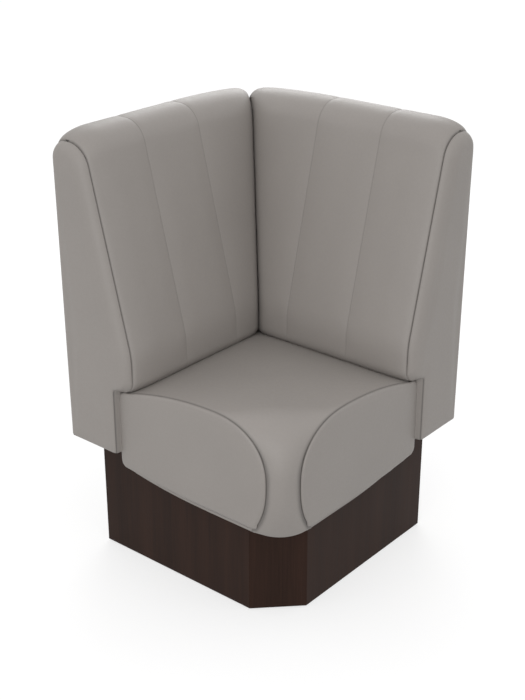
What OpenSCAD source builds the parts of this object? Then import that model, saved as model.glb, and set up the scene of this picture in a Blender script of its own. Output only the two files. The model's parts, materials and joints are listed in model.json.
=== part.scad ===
// Upholstered corner banquette unit: a dark timber plinth, a domed seat with two
// D-shaped ends, and two sloping backs that meet at a mitre in the wall corner.
// Millimetres, +Z up. The origin is on the floor under the middle of the unit. The left
// back stands along -X, the right back along +Y, and the front corner points to +X, -Y.
// Pieces are drawn from the left wall and the left end face, so x and y run from 0 to
// bench_w there; the right hand pieces are their mirror image in the diagonal.

/* [Unit] */
// Length of each wall side, from the wall to the open end face
bench_w = 650; // [620:1:700]
// Height of the plinth panels under the seat
plinth_h = 236; // [200:1:260]
// Height of the underside of the backs
back_base_z = 302; // [285:1:320]

/* [Plinth] */
// Distance of the plinth faces from the open end faces
plinth_end_inset = 66; // [55:1:80]
// Distance of the plinth from the walls, for a skirting board
plinth_wall_inset = 46; // [35:1:52]
// Leg of the cut front corner
plinth_chamfer = 90; // [75:1:105]
// Thickness of the plinth panels
plinth_t = 18; // [15:1:21]
// Gap between the plinth and the floor, set by the feet
floor_gap = 3; // [2:0.5:6]
// Side of the square glue blocks in the plinth corners
post_w = 36; // [30:1:42]
// Section of the bearers under the backs
bearer_w = 45; // [40:1:50]
// Height of the bearers under the backs
bearer_h = 45; // [38:1:55]
// Length of the cleats that take the seat bolts
cleat_len = 150; // [120:5:180]
// Width of the seat cleats
cleat_w = 45; // [38:1:50]
// Height of the seat cleats
cleat_h = 30; // [24:1:36]

/* [Feet] */
// Side of the timber blocks that hold the feet
foot_block_w = 60; // [52:1:66]
// Height of the foot blocks
foot_block_h = 40; // [34:1:50]
// Underside of the foot blocks above the floor
foot_block_z = 26; // [22:1:34]
// Radius of the foot pads
foot_pad_r = 20; // [14:0.5:22]
// Thickness of the foot pads
foot_pad_h = 6; // [4:0.5:8]
// Radius of the threaded studs
stud_r = 5; // [4:0.5:6]
// Length of the studs above the pads
stud_len = 44; // [38:1:50]
// Radius of the hexagons for the spanner
foot_hex_r = 8.5; // [7:0.5:9]
// Height of the hexagons for the spanner
foot_hex_h = 6; // [4:0.5:7]
// Thickness of the flanges and walls of the foot nuts
nut_wall = 1.5; // [1:0.1:2]
// Depth of the foot nuts in their blocks
nut_depth = 13; // [10:1:16]
// Running clearance of the studs in their nuts, on the radius
stud_gap = 0.08; // [0.03:0.01:0.1]

/* [Seat] */
// Distance of the end seams from the open end faces
seat_end_inset = 22; // [18:1:28]
// Distance of the front of the seat ends from the wall
seat_front_d = 580; // [560:1:596]
// Height of the top of the end seams
seat_crown_z = 497; // [485:1:510]
// Distance of the highest point of the end seams from the wall
seat_crown_d = 430; // [410:1:445]
// Fall of the end seams from the crown to the rear
seat_rear_fall = 48; // [42:1:60]
// Height of the widest point of the seat front
seat_front_z = 370; // [350:1:390]
// Set-back of the seat front at its bottom edge
seat_tuck = 32; // [20:1:40]
// Swell of the padded seat ends past their seams
seat_end_swell = 9; // [6:0.5:12]
// Rise of the seat top between its end seams
seat_dome = 6; // [3:0.5:9]
// Swell of the front corner past the line between the end seams
seat_corner_swell = 14; // [8:1:18]
// Thickness of the seat base panel
seat_base_t = 6; // [4:1:9]
// Height of the seat rails
seat_rail_h = 110; // [95:1:120]
// Thickness of the seat rails
seat_rail_t = 18; // [15:1:22]
// Radius of the front corner of the seat base
seat_base_r = 102; // [92:1:112]
// Leg of the corner cut of the seat frame
seat_chamfer = 90; // [80:1:100]
// Thickness of the seat deck
seat_deck_t = 12; // [9:1:15]
// Radius of the breather holes in the deck
vent_r = 12; // [8:1:16]
// Side of the blocks inside the seat frame corners
seat_block_w = 45; // [40:1:50]

/* [Backs] */
// Distance of the end seams from the open end faces
back_end_inset = 22; // [18:1:26]
// Distance of the lower front face from the wall
back_lower_d = 162.6; // [158:0.2:168]
// Distance of the end seams from the wall, at the knee
back_knee_d = 200; // [194:1:206]
// Height of the knee, where the slope starts
back_knee_z = 546; // [530:1:560]
// Slope of the backs from the vertical
back_slope = 13.9; // [12:0.1:15]
// Height of the end seams at the top
back_seam_z = 1000; // [960:1:1040]
// Rise of the padded tops past their end seams
back_top_crown = 22; // [12:1:26]
// Swell of the padded faces past their end seams
back_front_crown = 13; // [8:1:16]
// Length over which the padded faces rise from their end seams
back_end_run = 69; // [50:1:90]
// Height of the underside of the back padding over the seat
back_under_z = 462; // [459:1:470]
// Radius of the top front edge
back_top_r = 60; // [48:1:64]
// Radius of the top rear edge
back_rear_r = 30; // [20:1:32]
// Radius of the lower front edge
back_under_r = 30; // [20:1:34]
// Radius of the knee
back_knee_r = 200; // [150:5:240]
// Distance of the outer face seam from the open end face
seam_outer = 182; // [165:1:200]
// Distance of the inner face seam from the open end face
seam_inner = 354; // [335:1:370]
// Drop of the padded tops at the mitre
mitre_top_drop = 41; // [25:1:46]
// Set-back of the padded faces at the mitre
mitre_front_drop = 10; // [5:1:14]
// Thickness of the front boards
back_board_t = 9; // [6:1:12]
// Thickness of the rear boards
rear_board_t = 6; // [4:1:9]
// Thickness of the ribs
rib_t = 18; // [15:1:21]
// Thickness of the bottom boards
bottom_board_t = 18; // [15:1:21]
// Distance of the top of the frame below the end seams
frame_drop = 35; // [32:1:44]
// Width of the frame rails
rail_w = 30; // [24:1:34]
// Height of the frame rails
rail_h = 45; // [36:1:50]

/* [Covers and fasteners] */
// Thickness of the covers
cover_t = 1.5; // [1:0.1:2]
// Gap between soft pieces
soft_gap = 0.3; // [0.2:0.05:0.5]
// Gap between each back and the mitre plane
mitre_gap = 0.2; // [0.1:0.05:0.4]
// Play of the halved and butted joints of the timber frame
joint_gap = 0.2; // [0.1:0.05:0.4]
// Radius of the bolts
bolt_r = 4; // [3:0.5:5]
// Clearance of the bolts in their holes, on the radius
bolt_gap = 0.5; // [0.3:0.1:1]
// Height of the bolt heads and nuts
bolt_head_h = 5.5; // [4:0.5:7]
// Radius of the bolt heads and nuts
bolt_head_r = 7.5; // [6.5:0.5:9]
// Thickness of the steel corner plates
plate_t = 4; // [3:0.5:6]
// Leg of the steel corner plates
plate_leg = 98; // [88:1:102]
// Radius of the screws in the corner plates
screw_r = 2.5; // [2:0.25:3]
// Length of the screws in the corner plates
screw_len = 14; // [10:1:16]

/* [Hidden] */

cover_colour = [0.56, 0.53, 0.51];
panel_colour = [0.20, 0.14, 0.12];
ply_colour = [0.80, 0.66, 0.46];
timber_colour = [0.86, 0.74, 0.54];
foam_colour = [0.93, 0.89, 0.70];
steel_colour = [0.72, 0.73, 0.75];
cloth_colour = [0.22, 0.21, 0.21];
round_fn = 48;
overrun = 1;

// Depths of the back's layers, from the wall
rear_board_d = cover_t;
rib_rear_d = rear_board_d + rear_board_t;
board_front_d = back_lower_d - cover_t;
board_rear_d = board_front_d - back_board_t;
frame_top_z = back_seam_z - frame_drop;
slope_run = tan(back_slope);
board_run = back_board_t / cos(back_slope);
rib_base_z = back_base_z + bottom_board_t;
staple_z = back_seam_z - 2 * back_rear_r;

rib_places = [back_end_inset, (back_end_inset + bench_w - board_front_d) / 2 - rib_t,
    bench_w - board_front_d - rib_t];

// Places of the seat's layers
seat_base_z = plinth_h;
seat_frame_z = seat_base_z + seat_base_t;
seat_deck_z = seat_frame_z + seat_rail_h;
seat_foam_z = seat_deck_z + seat_deck_t;
seat_rear_d = back_lower_d + soft_gap;
seat_far = bench_w - seat_rear_d;
seat_pad_d = seat_end_inset + soft_gap;
seat_frame_d = seat_rear_d + cover_t + soft_gap;
seat_frame_far = bench_w - seat_frame_d;
seat_frame_end = seat_pad_d;
seat_cut_d = bench_w - seat_frame_end - seat_chamfer;

plinth_inner = plinth_end_inset + plinth_t;
plinth_wall_inner = plinth_wall_inset + plinth_t;
plinth_cut_d = bench_w - plinth_end_inset - plinth_chamfer;
cut_mitre = plinth_t * tan(22.5);
foot_place = plinth_inner + foot_block_w / 2;
foot_wall_place = plinth_wall_inner + foot_block_w / 2;

module left_side() { translate([-bench_w / 2, -bench_w / 2, 0]) children(); }
module right_side() { mirror([1, 1, 0]) left_side() children(); }

// Points of an arc about c
function arc(c, r, from, to, steps) = [for (i = [0:steps])
    let (a = from + (to - from) * i / steps) [c[0] + r * cos(a), c[1] + r * sin(a)]];

// A closed solid between two sheets of points, each a list of rows
module sheet(outer, inner) {
    rows = len(outer);
    cols = len(outer[0]);
    back = rows * cols;
    quads = concat(
        [for (i = [0:rows - 2], j = [0:cols - 2])
            [i * cols + j, i * cols + j + 1, (i + 1) * cols + j + 1, (i + 1) * cols + j]],
        [for (i = [0:rows - 2], j = [0:cols - 2])
            [back + (i + 1) * cols + j + 1, back + i * cols + j + 1,
                back + i * cols + j, back + (i + 1) * cols + j]],
        [for (i = [0:rows - 2]) [i * cols, (i + 1) * cols, back + (i + 1) * cols, back + i * cols]],
        [for (i = [0:rows - 2]) [(i + 1) * cols + cols - 1, i * cols + cols - 1,
            back + i * cols + cols - 1, back + (i + 1) * cols + cols - 1]],
        [for (j = [0:cols - 2]) [j + 1, j, back + j, back + j + 1]],
        [for (j = [0:cols - 2]) [(rows - 1) * cols + j, (rows - 1) * cols + j + 1,
            back + (rows - 1) * cols + j + 1, back + (rows - 1) * cols + j]]);
    polyhedron(concat([for (r = outer) each r], [for (r = inner) each r]),
        [for (q = quads) each [[q[0], q[1], q[2]], [q[0], q[2], q[3]]]]);
}

// A closed solid through a list of rings, with a flat face at each end
module loft(rings) {
    n = len(rings[0]);
    last = (len(rings) - 1) * n;
    polyhedron([for (r = rings) each r], concat(
        [for (i = [0:len(rings) - 2], j = [0:n - 1]) let (k = (j + 1) % n)
            each [[i * n + j, i * n + k, (i + 1) * n + k],
                [i * n + j, (i + 1) * n + k, (i + 1) * n + j]]],
        [[for (j = [0:n - 1]) n - 1 - j]],
        [[for (j = [0:n - 1]) last + j]]));
}

// A thin cup: a wall through outer rings, its flat floor, and the same inside
module cup(outer, inner) {
    n = len(outer[0]);
    back = len(outer) * n;
    last = (len(outer) - 1) * n;
    polyhedron(concat([for (r = outer) each r], [for (r = inner) each r]), concat(
        [[for (j = [0:n - 1]) last + j]],
        [[for (j = [0:n - 1]) back + last + n - 1 - j]],
        [for (i = [0:len(outer) - 2], j = [0:n - 1]) let (k = (j + 1) % n)
            each [[i * n + j, i * n + k, (i + 1) * n + k],
                [i * n + j, (i + 1) * n + k, (i + 1) * n + j]]],
        [for (i = [0:len(outer) - 2], j = [0:n - 1]) let (k = (j + 1) % n)
            each [[back + i * n + j, back + (i + 1) * n + k, back + i * n + k],
                [back + i * n + j, back + (i + 1) * n + j, back + (i + 1) * n + k]]],
        [for (j = [0:n - 1]) let (k = (j + 1) % n)
            each [[j, back + k, k], [j, back + j, back + k]]]));
}

// A board with square edges between two corners
module block(from, to) {
    translate(from) cube([to[0] - from[0], to[1] - from[1], to[2] - from[2]]);
}

// An upright prism over a plan outline
module prism(outline, from_z, to_z) {
    translate([0, 0, from_z]) linear_extrude(to_z - from_z) polygon(outline);
}

// The plan of a layer of a back between two depths, cut to the mitre at its far end
function mitre_plan(from_d, to_d, start) = [[from_d, start], [to_d, start],
    [to_d, bench_w - to_d - mitre_gap], [from_d, bench_w - from_d - mitre_gap]];

// Plinth

module plinth_panel_left() {
    color(panel_colour) {
        prism([[plinth_wall_inset, plinth_end_inset], [plinth_cut_d, plinth_end_inset],
            [plinth_cut_d - cut_mitre, plinth_inner], [plinth_wall_inset, plinth_inner]],
            floor_gap, plinth_h);
        block([plinth_wall_inset, plinth_end_inset, plinth_h],
            [board_rear_d, plinth_inner, back_base_z]);
    }
}

module plinth_panel_corner() {
    color(panel_colour)
        prism([[plinth_cut_d, plinth_end_inset],
            [bench_w - plinth_end_inset, bench_w - plinth_cut_d],
            [bench_w - plinth_inner, bench_w - plinth_cut_d + cut_mitre],
            [plinth_cut_d - cut_mitre, plinth_inner]],
            floor_gap, plinth_h);
}

module plinth_panel_side() {
    color(panel_colour)
        block([plinth_wall_inset, plinth_inner, floor_gap],
            [plinth_wall_inner, bench_w - plinth_wall_inset, back_base_z]);
}

module plinth_panel_rear() {
    color(panel_colour)
        block([plinth_wall_inner, bench_w - plinth_wall_inner, floor_gap],
            [bench_w - plinth_inner, bench_w - plinth_wall_inset, back_base_z]);
}

// Glue blocks over the foot blocks at three corners of the plinth
module plinth_posts() {
    color(timber_colour) {
        left_side() block([plinth_wall_inner, plinth_inner, foot_block_z + foot_block_h],
            [plinth_wall_inner + post_w, plinth_inner + post_w, back_base_z - bearer_h]);
        right_side() block([plinth_wall_inner, plinth_inner, foot_block_z + foot_block_h],
            [plinth_wall_inner + post_w, plinth_inner + post_w, back_base_z - bearer_h]);
        left_side() block([plinth_wall_inner, bench_w - plinth_wall_inner - post_w,
            foot_block_z + foot_block_h],
            [plinth_wall_inner + post_w, bench_w - plinth_wall_inner, back_base_z - bearer_h]);
    }
}

bearer_mid_d = plinth_wall_inner + bearer_w / 2;
bearer_start = plinth_inner;
bolt_places = [bearer_start + bearer_w, rib_places[1] - bearer_w, rib_places[2] - bearer_w];

// Bearers along the wall panels, which carry the backs
module plinth_bearers() {
    color(timber_colour) {
        left_side() difference() {
            block([plinth_wall_inner, bearer_start, back_base_z - bearer_h],
                [plinth_wall_inner + bearer_w, bench_w - plinth_wall_inner, back_base_z]);
            back_bolt_holes();
        }
        right_side() difference() {
            block([plinth_wall_inner, bearer_start, back_base_z - bearer_h],
                [plinth_wall_inner + bearer_w,
                    bench_w - plinth_wall_inner - bearer_w - joint_gap, back_base_z]);
            back_bolt_holes();
        }
    }
}

cleat_mid_d = plinth_inner + cleat_w / 2;
cleat_start = (plinth_cut_d + seat_rear_d - cleat_len) / 2;
bolt_shares = [0.2, 0.8];
cleat_bolts = [for (share = bolt_shares) cleat_start + cleat_len * share];

seat_bolt_low = plinth_h - cleat_h;
seat_bolt_high = seat_frame_z + seat_block_w;

module seat_bolt_holes() {
    for (d = cleat_bolts) translate([d, cleat_mid_d, seat_bolt_low - overrun])
        cylinder(r = bolt_r + bolt_gap, h = seat_bolt_high - seat_bolt_low + 2 * overrun,
            $fn = round_fn);
}

// Cleats inside the end panels, which take the seat bolts
module seat_cleats() {
    color(timber_colour) {
        left_side() difference() {
            block([cleat_start, plinth_inner, plinth_h - cleat_h],
                [cleat_start + cleat_len, plinth_inner + cleat_w, plinth_h]);
            seat_bolt_holes();
        }
        right_side() difference() {
            block([cleat_start, plinth_inner, plinth_h - cleat_h],
                [cleat_start + cleat_len, plinth_inner + cleat_w, plinth_h]);
            seat_bolt_holes();
        }
    }
}

// Feet

nut_flange_r = 2 * stud_r;
nut_barrel_r = stud_r + stud_gap + nut_wall;
foot_front_d = plinth_end_inset + plinth_chamfer / 2 + (plinth_t + foot_block_w / 2) * cos(45);

// The foot blocks' places, from the left wall and the left end face
foot_left_at = [foot_wall_place, foot_place];
foot_right_at = [bench_w - foot_place, bench_w - foot_wall_place];
foot_rear_at = [foot_wall_place, bench_w - foot_wall_place];
foot_front_at = [bench_w - foot_front_d, foot_front_d];
foot_places = [[foot_left_at, 0], [foot_right_at, 0], [foot_rear_at, 0], [foot_front_at, 45]];

module at_foot(place) {
    left_side() translate([place[0][0], place[0][1], 0]) rotate([0, 0, place[1]]) children();
}

module foot_blocks() {
    color(timber_colour)
        for (place = foot_places) at_foot(place) difference() {
            translate([-foot_block_w / 2, -foot_block_w / 2, foot_block_z])
                cube([foot_block_w, foot_block_w, foot_block_h]);
            translate([0, 0, foot_block_z - overrun])
                cylinder(r = nut_barrel_r, h = foot_block_h + 2 * overrun, $fn = round_fn);
        }
}

// Flanged threaded nuts pressed into the blocks from below
module foot_nuts() {
    color(steel_colour)
        for (place = foot_places) at_foot(place) translate([0, 0, foot_block_z - nut_wall])
            difference() {
                union() {
                    cylinder(r = nut_flange_r, h = nut_wall, $fn = round_fn);
                    cylinder(r = nut_barrel_r, h = nut_depth + nut_wall, $fn = round_fn);
                }
                translate([0, 0, -overrun]) cylinder(r = stud_r + stud_gap,
                    h = nut_depth + nut_wall + 2 * overrun, $fn = round_fn);
            }
}

// A levelling foot: a round pad, a hexagon for the spanner and a threaded stud
module foot(place) {
    color(steel_colour) at_foot(place) {
        cylinder(r = foot_pad_r, h = foot_pad_h, $fn = round_fn);
        translate([0, 0, foot_pad_h])
            cylinder(r = foot_hex_r, h = foot_hex_h, $fn = 6);
        translate([0, 0, foot_pad_h]) cylinder(r = stud_r, h = stud_len, $fn = round_fn);
    }
}

// Seat

// The seam line of a seat end, from the rear over the top to the bottom of the front.
// off moves it inwards.
function seat_seam(off) = let (
        crown_z = seat_crown_z - off,
        front_d = seat_front_d - off,
        half_d = front_d - seat_crown_d,
        half_h = crown_z - seat_front_z,
        tuck_h = seat_front_z - seat_frame_z,
        rear_run = seat_crown_d - seat_rear_d)
    concat(
        [for (i = [0:seat_rear_steps - 1]) let (share = 1 - i / seat_rear_steps)
            [seat_crown_d - rear_run * share, crown_z - seat_rear_fall * pow(share, 2)]],
        [for (i = [0:seat_front_steps]) let (a = 90 - 90 * i / seat_front_steps)
            [seat_crown_d + half_d * pow(cos(a), round_share),
                seat_front_z + half_h * pow(sin(a), round_share)]],
        [for (i = [1:seat_tuck_steps]) let (share = i / seat_tuck_steps)
            [front_d - seat_tuck * pow(share, 2.5), seat_front_z - tuck_h * share]]);
seat_rear_steps = 5;
seat_front_steps = 8;
seat_tuck_steps = 4;
// Power of the seat front's rounding, fuller than an ellipse
round_share = 0.87;

// How far the padding swells between the end seams, for each row of the seat
function seat_swell(row) = row < seat_rear_steps ? 0
    : row > seat_rear_steps + seat_front_steps ? seat_corner_swell
    : let (a = 90 - 90 * (row - seat_rear_steps) / seat_front_steps)
        seat_dome * sin(a) + seat_corner_swell * cos(a);

// Direction of that swell: outwards at the front and upwards at the top
function swell_turn(row) = row <= seat_rear_steps ? 90
    : row >= seat_rear_steps + seat_front_steps ? 0
    : 90 - 90 * (row - seat_rear_steps) / seat_front_steps;

// The lesser of two distances, with the corner between them blended
function least(a, b) = -seat_blend * ln(exp(-a / seat_blend) + exp(-b / seat_blend));
seat_blend = 12;

// Height of the seat top over a place behind the crown
function seat_top(x, y, off) = let (
        d = min(least(x, bench_w - y), seat_crown_d),
        share = (seat_crown_d - d) / (seat_crown_d - seat_rear_d))
    seat_crown_z - off - seat_rear_fall * pow(share, 2);

// One row of points across the seat between its end seams. off moves the row inwards
// and side moves its two ends.
function seat_row(row, off, side) = let (
        p = seat_seam(off)[row],
        run = bench_w - seat_end_inset - side - p[0],
        swell = seat_swell(row), turn = swell_turn(row))
    [for (j = [0:seat_cols]) let (
            t = j / seat_cols,
            out = swell * 4 * t * (1 - t),
            x = p[0] + run * t + out * cos(turn) * cos(45),
            y = seat_end_inset + side + run * t - out * cos(turn) * cos(45))
        [x, y, row < seat_rear_steps
            ? seat_top(x, y, off) + seat_dome * 4 * t * (1 - t) : p[1] + out * sin(turn)]];
seat_cols = 10;

// The rows behind the end seams, which shorten towards the wall corner
function seat_corner_row(share, off, side) = let (
        reach = seat_far - seat_end_inset - side,
        start = [seat_rear_d, seat_end_inset + side + reach * share],
        run = reach * (1 - share))
    [for (j = [0:seat_cols]) let (
            t = j / seat_cols, x = start[0] + run * t, y = start[1] + run * t)
        [x, y, seat_top(x, y, off) + seat_dome * 4 * t * (1 - t) * (1 - share)]];
seat_corner_shares = [0.96, 0.8, 0.6, 0.4, 0.2];

seat_rows = seat_rear_steps + seat_front_steps + seat_tuck_steps;
function seat_skin(off, side) = concat(
    [for (share = seat_corner_shares) seat_corner_row(share, off, side)],
    [for (row = [0:seat_rows]) seat_row(row, off, side)]);

module seat_cover_top() {
    color(cover_colour) sheet(seat_skin(0, 0), seat_skin(cover_t, 0));
}

// The foam block, which lies on the deck and wraps over the front corner
module seat_foam() {
    off = cover_t + soft_gap;
    cut = seat_cut_d + soft_gap;
    rows = seat_skin(off, soft_gap);
    color(foam_colour) loft([for (r = rows) let (
            a = r[0], b = r[seat_cols],
            low = a[2] > seat_foam_z + soft_gap)
        concat(r, low ? [[b[0], b[1], seat_foam_z], [a[0], a[1], seat_foam_z]]
            : [[bench_w - seat_pad_d, bench_w - cut, a[2]], [cut, seat_pad_d, a[2]]])]);
}

// Closed outline of a padded seat end, drawn in about its middle by a share
function seat_end_ring(share, at, off) = let (
        seam = seat_seam(off),
        mid = [(seat_rear_d + seat_front_d) / 2, (seat_crown_z + seat_frame_z) / 2],
        bottom = seat_frame_z + off,
        low = arc([seat_rear_d + off + seat_heel_r, bottom + seat_heel_r], seat_heel_r, -90, -180, 4),
        line = concat([for (p = seam) [max(p[0], seat_rear_d + off), max(p[1], bottom)]], low))
    [for (p = line) [mid[0] + (p[0] - mid[0]) * share, at, mid[1] + (p[1] - mid[1]) * share]];
seat_heel_r = 26;
// How far in the padded end is drawn, and how far it has swollen there
swell_in_shares = [1, 0.97, 0.9, 0.78, 0.5];
swell_out_shares = [0, 0.45, 0.75, 0.93, 1];

function seat_end_rings(off) = [for (i = [0:len(swell_in_shares) - 1])
    seat_end_ring(swell_in_shares[i],
        seat_end_inset - (seat_end_swell - off) * swell_out_shares[i], off)];

module seat_cover_end() {
    color(cover_colour) cup(seat_end_rings(0), seat_end_rings(cover_t));
}

module seat_pad() {
    color(foam_colour) loft(seat_end_rings(cover_t + soft_gap));
}

// The plan of a layer of the seat frame: square at the walls, cut at the front corner
seat_frame_plan = [[seat_frame_d, seat_frame_end], [seat_cut_d, seat_frame_end],
    [bench_w - seat_frame_end, bench_w - seat_cut_d],
    [bench_w - seat_frame_end, seat_frame_far], [seat_frame_d, seat_frame_far]];
rail_inner = seat_frame_end + seat_rail_t;
rail_mitre = seat_rail_t * tan(22.5);

module seat_base() {
    color(cover_colour) left_side() difference() {
        prism(concat([[seat_frame_d, seat_frame_end]],
            arc([bench_w - seat_frame_end - seat_base_r, seat_frame_end + seat_base_r],
                seat_base_r, -90, 0, 12),
            [[bench_w - seat_frame_end, seat_frame_far], [seat_frame_d, seat_frame_far]]),
            seat_base_z, seat_frame_z);
        seat_bolt_holes();
        translate([bench_w, bench_w, 0]) mirror([1, 1, 0]) seat_bolt_holes();
    }
}

module seat_rail_end() {
    color(ply_colour)
        prism([[seat_frame_d, seat_frame_end], [seat_cut_d, seat_frame_end],
            [seat_cut_d - rail_mitre, rail_inner], [seat_frame_d, rail_inner]],
            seat_frame_z, seat_deck_z);
}

module seat_rail_corner() {
    color(ply_colour) left_side()
        prism([[seat_cut_d, seat_frame_end], [bench_w - seat_frame_end, bench_w - seat_cut_d],
            [bench_w - rail_inner, bench_w - seat_cut_d + rail_mitre],
            [seat_cut_d - rail_mitre, rail_inner]],
            seat_frame_z, seat_deck_z);
}

// The two rails behind the seat, against the lower faces of the backs
module seat_rear_rails() {
    color(ply_colour) left_side() {
        block([seat_frame_d, rail_inner, seat_frame_z],
            [seat_frame_d + seat_rail_t, seat_frame_far, seat_deck_z]);
        block([seat_frame_d + seat_rail_t + joint_gap, seat_frame_far - seat_rail_t, seat_frame_z],
            [bench_w - rail_inner, seat_frame_far, seat_deck_z]);
    }
}

// Blocks glued to the end rails, over the seat bolts
module seat_blocks_end() {
    color(timber_colour) difference() {
        for (d = cleat_bolts)
            block([d - seat_block_w / 2, rail_inner, seat_frame_z],
                [d + seat_block_w / 2, cleat_mid_d + seat_block_w / 2, seat_bolt_high]);
        seat_bolt_holes();
    }
}

// The rail under the middle of the deck
module seat_cross_rail() {
    mid_d = cleat_start + cleat_len / 2;
    color(ply_colour) left_side()
        block([seat_frame_d + seat_rail_t, bench_w - mid_d - seat_rail_t / 2, seat_frame_z],
            [bench_w - rail_inner, bench_w - mid_d + seat_rail_t / 2, seat_deck_z]);
}

module seat_deck() {
    pitch = (seat_cut_d - seat_frame_d) / 4;
    color(ply_colour) left_side() difference() {
        prism(seat_frame_plan, seat_deck_z, seat_foam_z);
        for (i = [1:3], j = [1:3])
            translate([seat_frame_d + i * pitch, seat_frame_far - j * pitch, seat_deck_z - overrun])
                cylinder(r = vent_r, h = seat_deck_t + 2 * overrun, $fn = round_fn);
    }
}

// A hexagon bolt pointing up from its head's underside, and its nut
module bolt(low, high) {
    translate([0, 0, low - bolt_head_h]) cylinder(r = bolt_head_r, h = bolt_head_h, $fn = 6);
    translate([0, 0, low - overrun]) cylinder(r = bolt_r, h = high - low + bolt_head_h + 2 * overrun,
        $fn = round_fn);
    translate([0, 0, high]) cylinder(r = bolt_head_r, h = bolt_head_h, $fn = 6);
}

module seat_bolts() {
    color(steel_colour) {
        left_side() for (d = cleat_bolts)
            translate([d, cleat_mid_d, 0]) bolt(seat_bolt_low, seat_bolt_high);
        right_side() for (d = cleat_bolts)
            translate([d, cleat_mid_d, 0]) bolt(seat_bolt_low, seat_bolt_high);
    }
}

// Backs, drawn as the left one

module back_bolt_holes() {
    for (v = bolt_places) translate([bearer_mid_d, v, back_base_z - bearer_h - overrun])
        cylinder(r = bolt_r + bolt_gap, h = bearer_h + bottom_board_t + 2 * overrun, $fn = round_fn);
}

module back_bottom_board() {
    color(ply_colour) difference() {
        prism(mitre_plan(rib_rear_d, board_rear_d, back_end_inset), back_base_z, rib_base_z);
        back_bolt_holes();
        corner_pilot_holes();
    }
}

knee_rail_d = board_rear_d - rail_w;
top_rail_z = frame_top_z - rail_h;
knee_rail_z = back_knee_z - rail_h;

// Depth of the rear face of the sloping front board at a height
function slope_d(from_d, z) = from_d - (z - back_knee_z) * slope_run;

module back_ribs() {
    color(ply_colour) for (v = rib_places) difference() {
        translate([0, v + rib_t, 0]) rotate([90, 0, 0]) linear_extrude(rib_t)
            polygon([[rib_rear_d, rib_base_z], [board_rear_d, rib_base_z],
                [board_rear_d, back_knee_z],
                [board_front_d - board_run, back_knee_z],
                [slope_d(board_front_d - board_run, frame_top_z), frame_top_z],
                [rib_rear_d, frame_top_z]]);
        block([rib_rear_d - overrun, v - overrun, top_rail_z - joint_gap],
            [rib_rear_d + rail_w + joint_gap, v + rib_t + overrun, frame_top_z + overrun]);
        block([knee_rail_d - joint_gap, v - overrun, knee_rail_z - joint_gap],
            [board_rear_d + overrun, v + rib_t + overrun, back_knee_z + joint_gap]);
    }
}

module back_top_rail() {
    color(timber_colour) difference() {
        prism(mitre_plan(rib_rear_d, rib_rear_d + rail_w, back_end_inset), top_rail_z, frame_top_z);
        corner_pilot_holes();
    }
}

module back_knee_rail() {
    color(timber_colour) prism(mitre_plan(knee_rail_d, board_rear_d, back_end_inset),
        knee_rail_z, back_knee_z);
}

module back_lower_board() {
    color(ply_colour) prism(mitre_plan(board_rear_d, board_front_d, back_end_inset),
        back_base_z, back_knee_z);
}

// The sloping board behind the foam, cut to the mitre
module back_upper_board() {
    color(ply_colour) difference() {
        translate([0, bench_w, 0]) rotate([90, 0, 0]) linear_extrude(bench_w - back_end_inset)
            polygon([[board_front_d - board_run, back_knee_z], [board_front_d, back_knee_z],
                [slope_d(board_front_d, frame_top_z), frame_top_z],
                [slope_d(board_front_d - board_run, frame_top_z), frame_top_z]]);
        translate([0, bench_w - mitre_gap, back_knee_z - overrun]) rotate([0, 0, -45])
            cube([2 * bench_w, bench_w, bench_w]);
    }
}

module back_rear_board() {
    color(ply_colour) prism(mitre_plan(rear_board_d, rib_rear_d, back_end_inset),
        back_base_z, staple_z);
}

module back_cover_rear() {
    color(cloth_colour) prism(mitre_plan(0, rear_board_d, back_end_inset), back_base_z, staple_z);
}

// The padded face from its underside over the top to the wall side, as [depth, height].
// front_in and top_in draw it back from its fullest shape, shrink tightens its edges
// and off moves it all inwards.
function back_face(front_in, top_in, rear_in, shrink, off) = let (
        knee_d = back_knee_d + back_front_crown - front_in - off,
        top_z = back_seam_z + back_top_crown - top_in - off,
        under_z = back_under_z + off,
        top_r = back_top_r - shrink - off,
        rear_r = back_rear_r - shrink * rear_ease_share - off,
        under_r = max(cover_t, min(back_under_r - off, knee_d - back_lower_d)),
        knee_lead = back_knee_r * tan(back_slope / 2))
    concat(
        arc([knee_d - under_r, under_z + under_r], under_r, -90, 0, 4),
        arc([knee_d - back_knee_r, back_knee_z - knee_lead], back_knee_r, back_slope / 4, back_slope, 2),
        arc([slope_d(knee_d, top_z - top_r) - top_r / cos(back_slope), top_z - top_r],
            top_r, back_slope, 90, 6),
        arc([rear_in + off + rear_r, top_z - rear_r], rear_r, 90, 180, 4));
rear_ease_share = 0.55;

// Stations along a back: [distance from the open end face, 0] in the straight part, then
// [0, share of the way from the inner seam to the mitre]
end_run_shares = [0, 0.05, 0.15, 0.3, 0.55, 1];
mitre_run_shares = [0.3, 0.55, 0.75, 0.9, 1];
end_stations = [for (share = end_run_shares) [back_end_inset + back_end_run * share, 0]];
mitre_stations = [for (share = mitre_run_shares) [0, share]];
outer_stations = concat(end_stations, [[seam_outer, 0]]);
middle_stations = [[seam_outer, 0], [seam_inner, 0]];
inner_stations = concat([[seam_inner, 0]], mitre_stations);

function end_loss(v) = let (x = min(1, (v - back_end_inset) / back_end_run))
    1 - sqrt(1 - pow(1 - x, 2));
function mitre_loss(share) = pow(max(0, (share - mitre_start_share) / (1 - mitre_start_share)), 2);
mitre_start_share = 0.4;

function station_face(st, off) = st[1] > 0
    ? back_face(mitre_front_drop * mitre_loss(st[1]), mitre_top_drop * mitre_loss(st[1]), 0, 0, off)
    : back_face(back_front_crown * end_loss(st[0]), back_top_crown * end_loss(st[0]), 0, 0, off);

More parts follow.
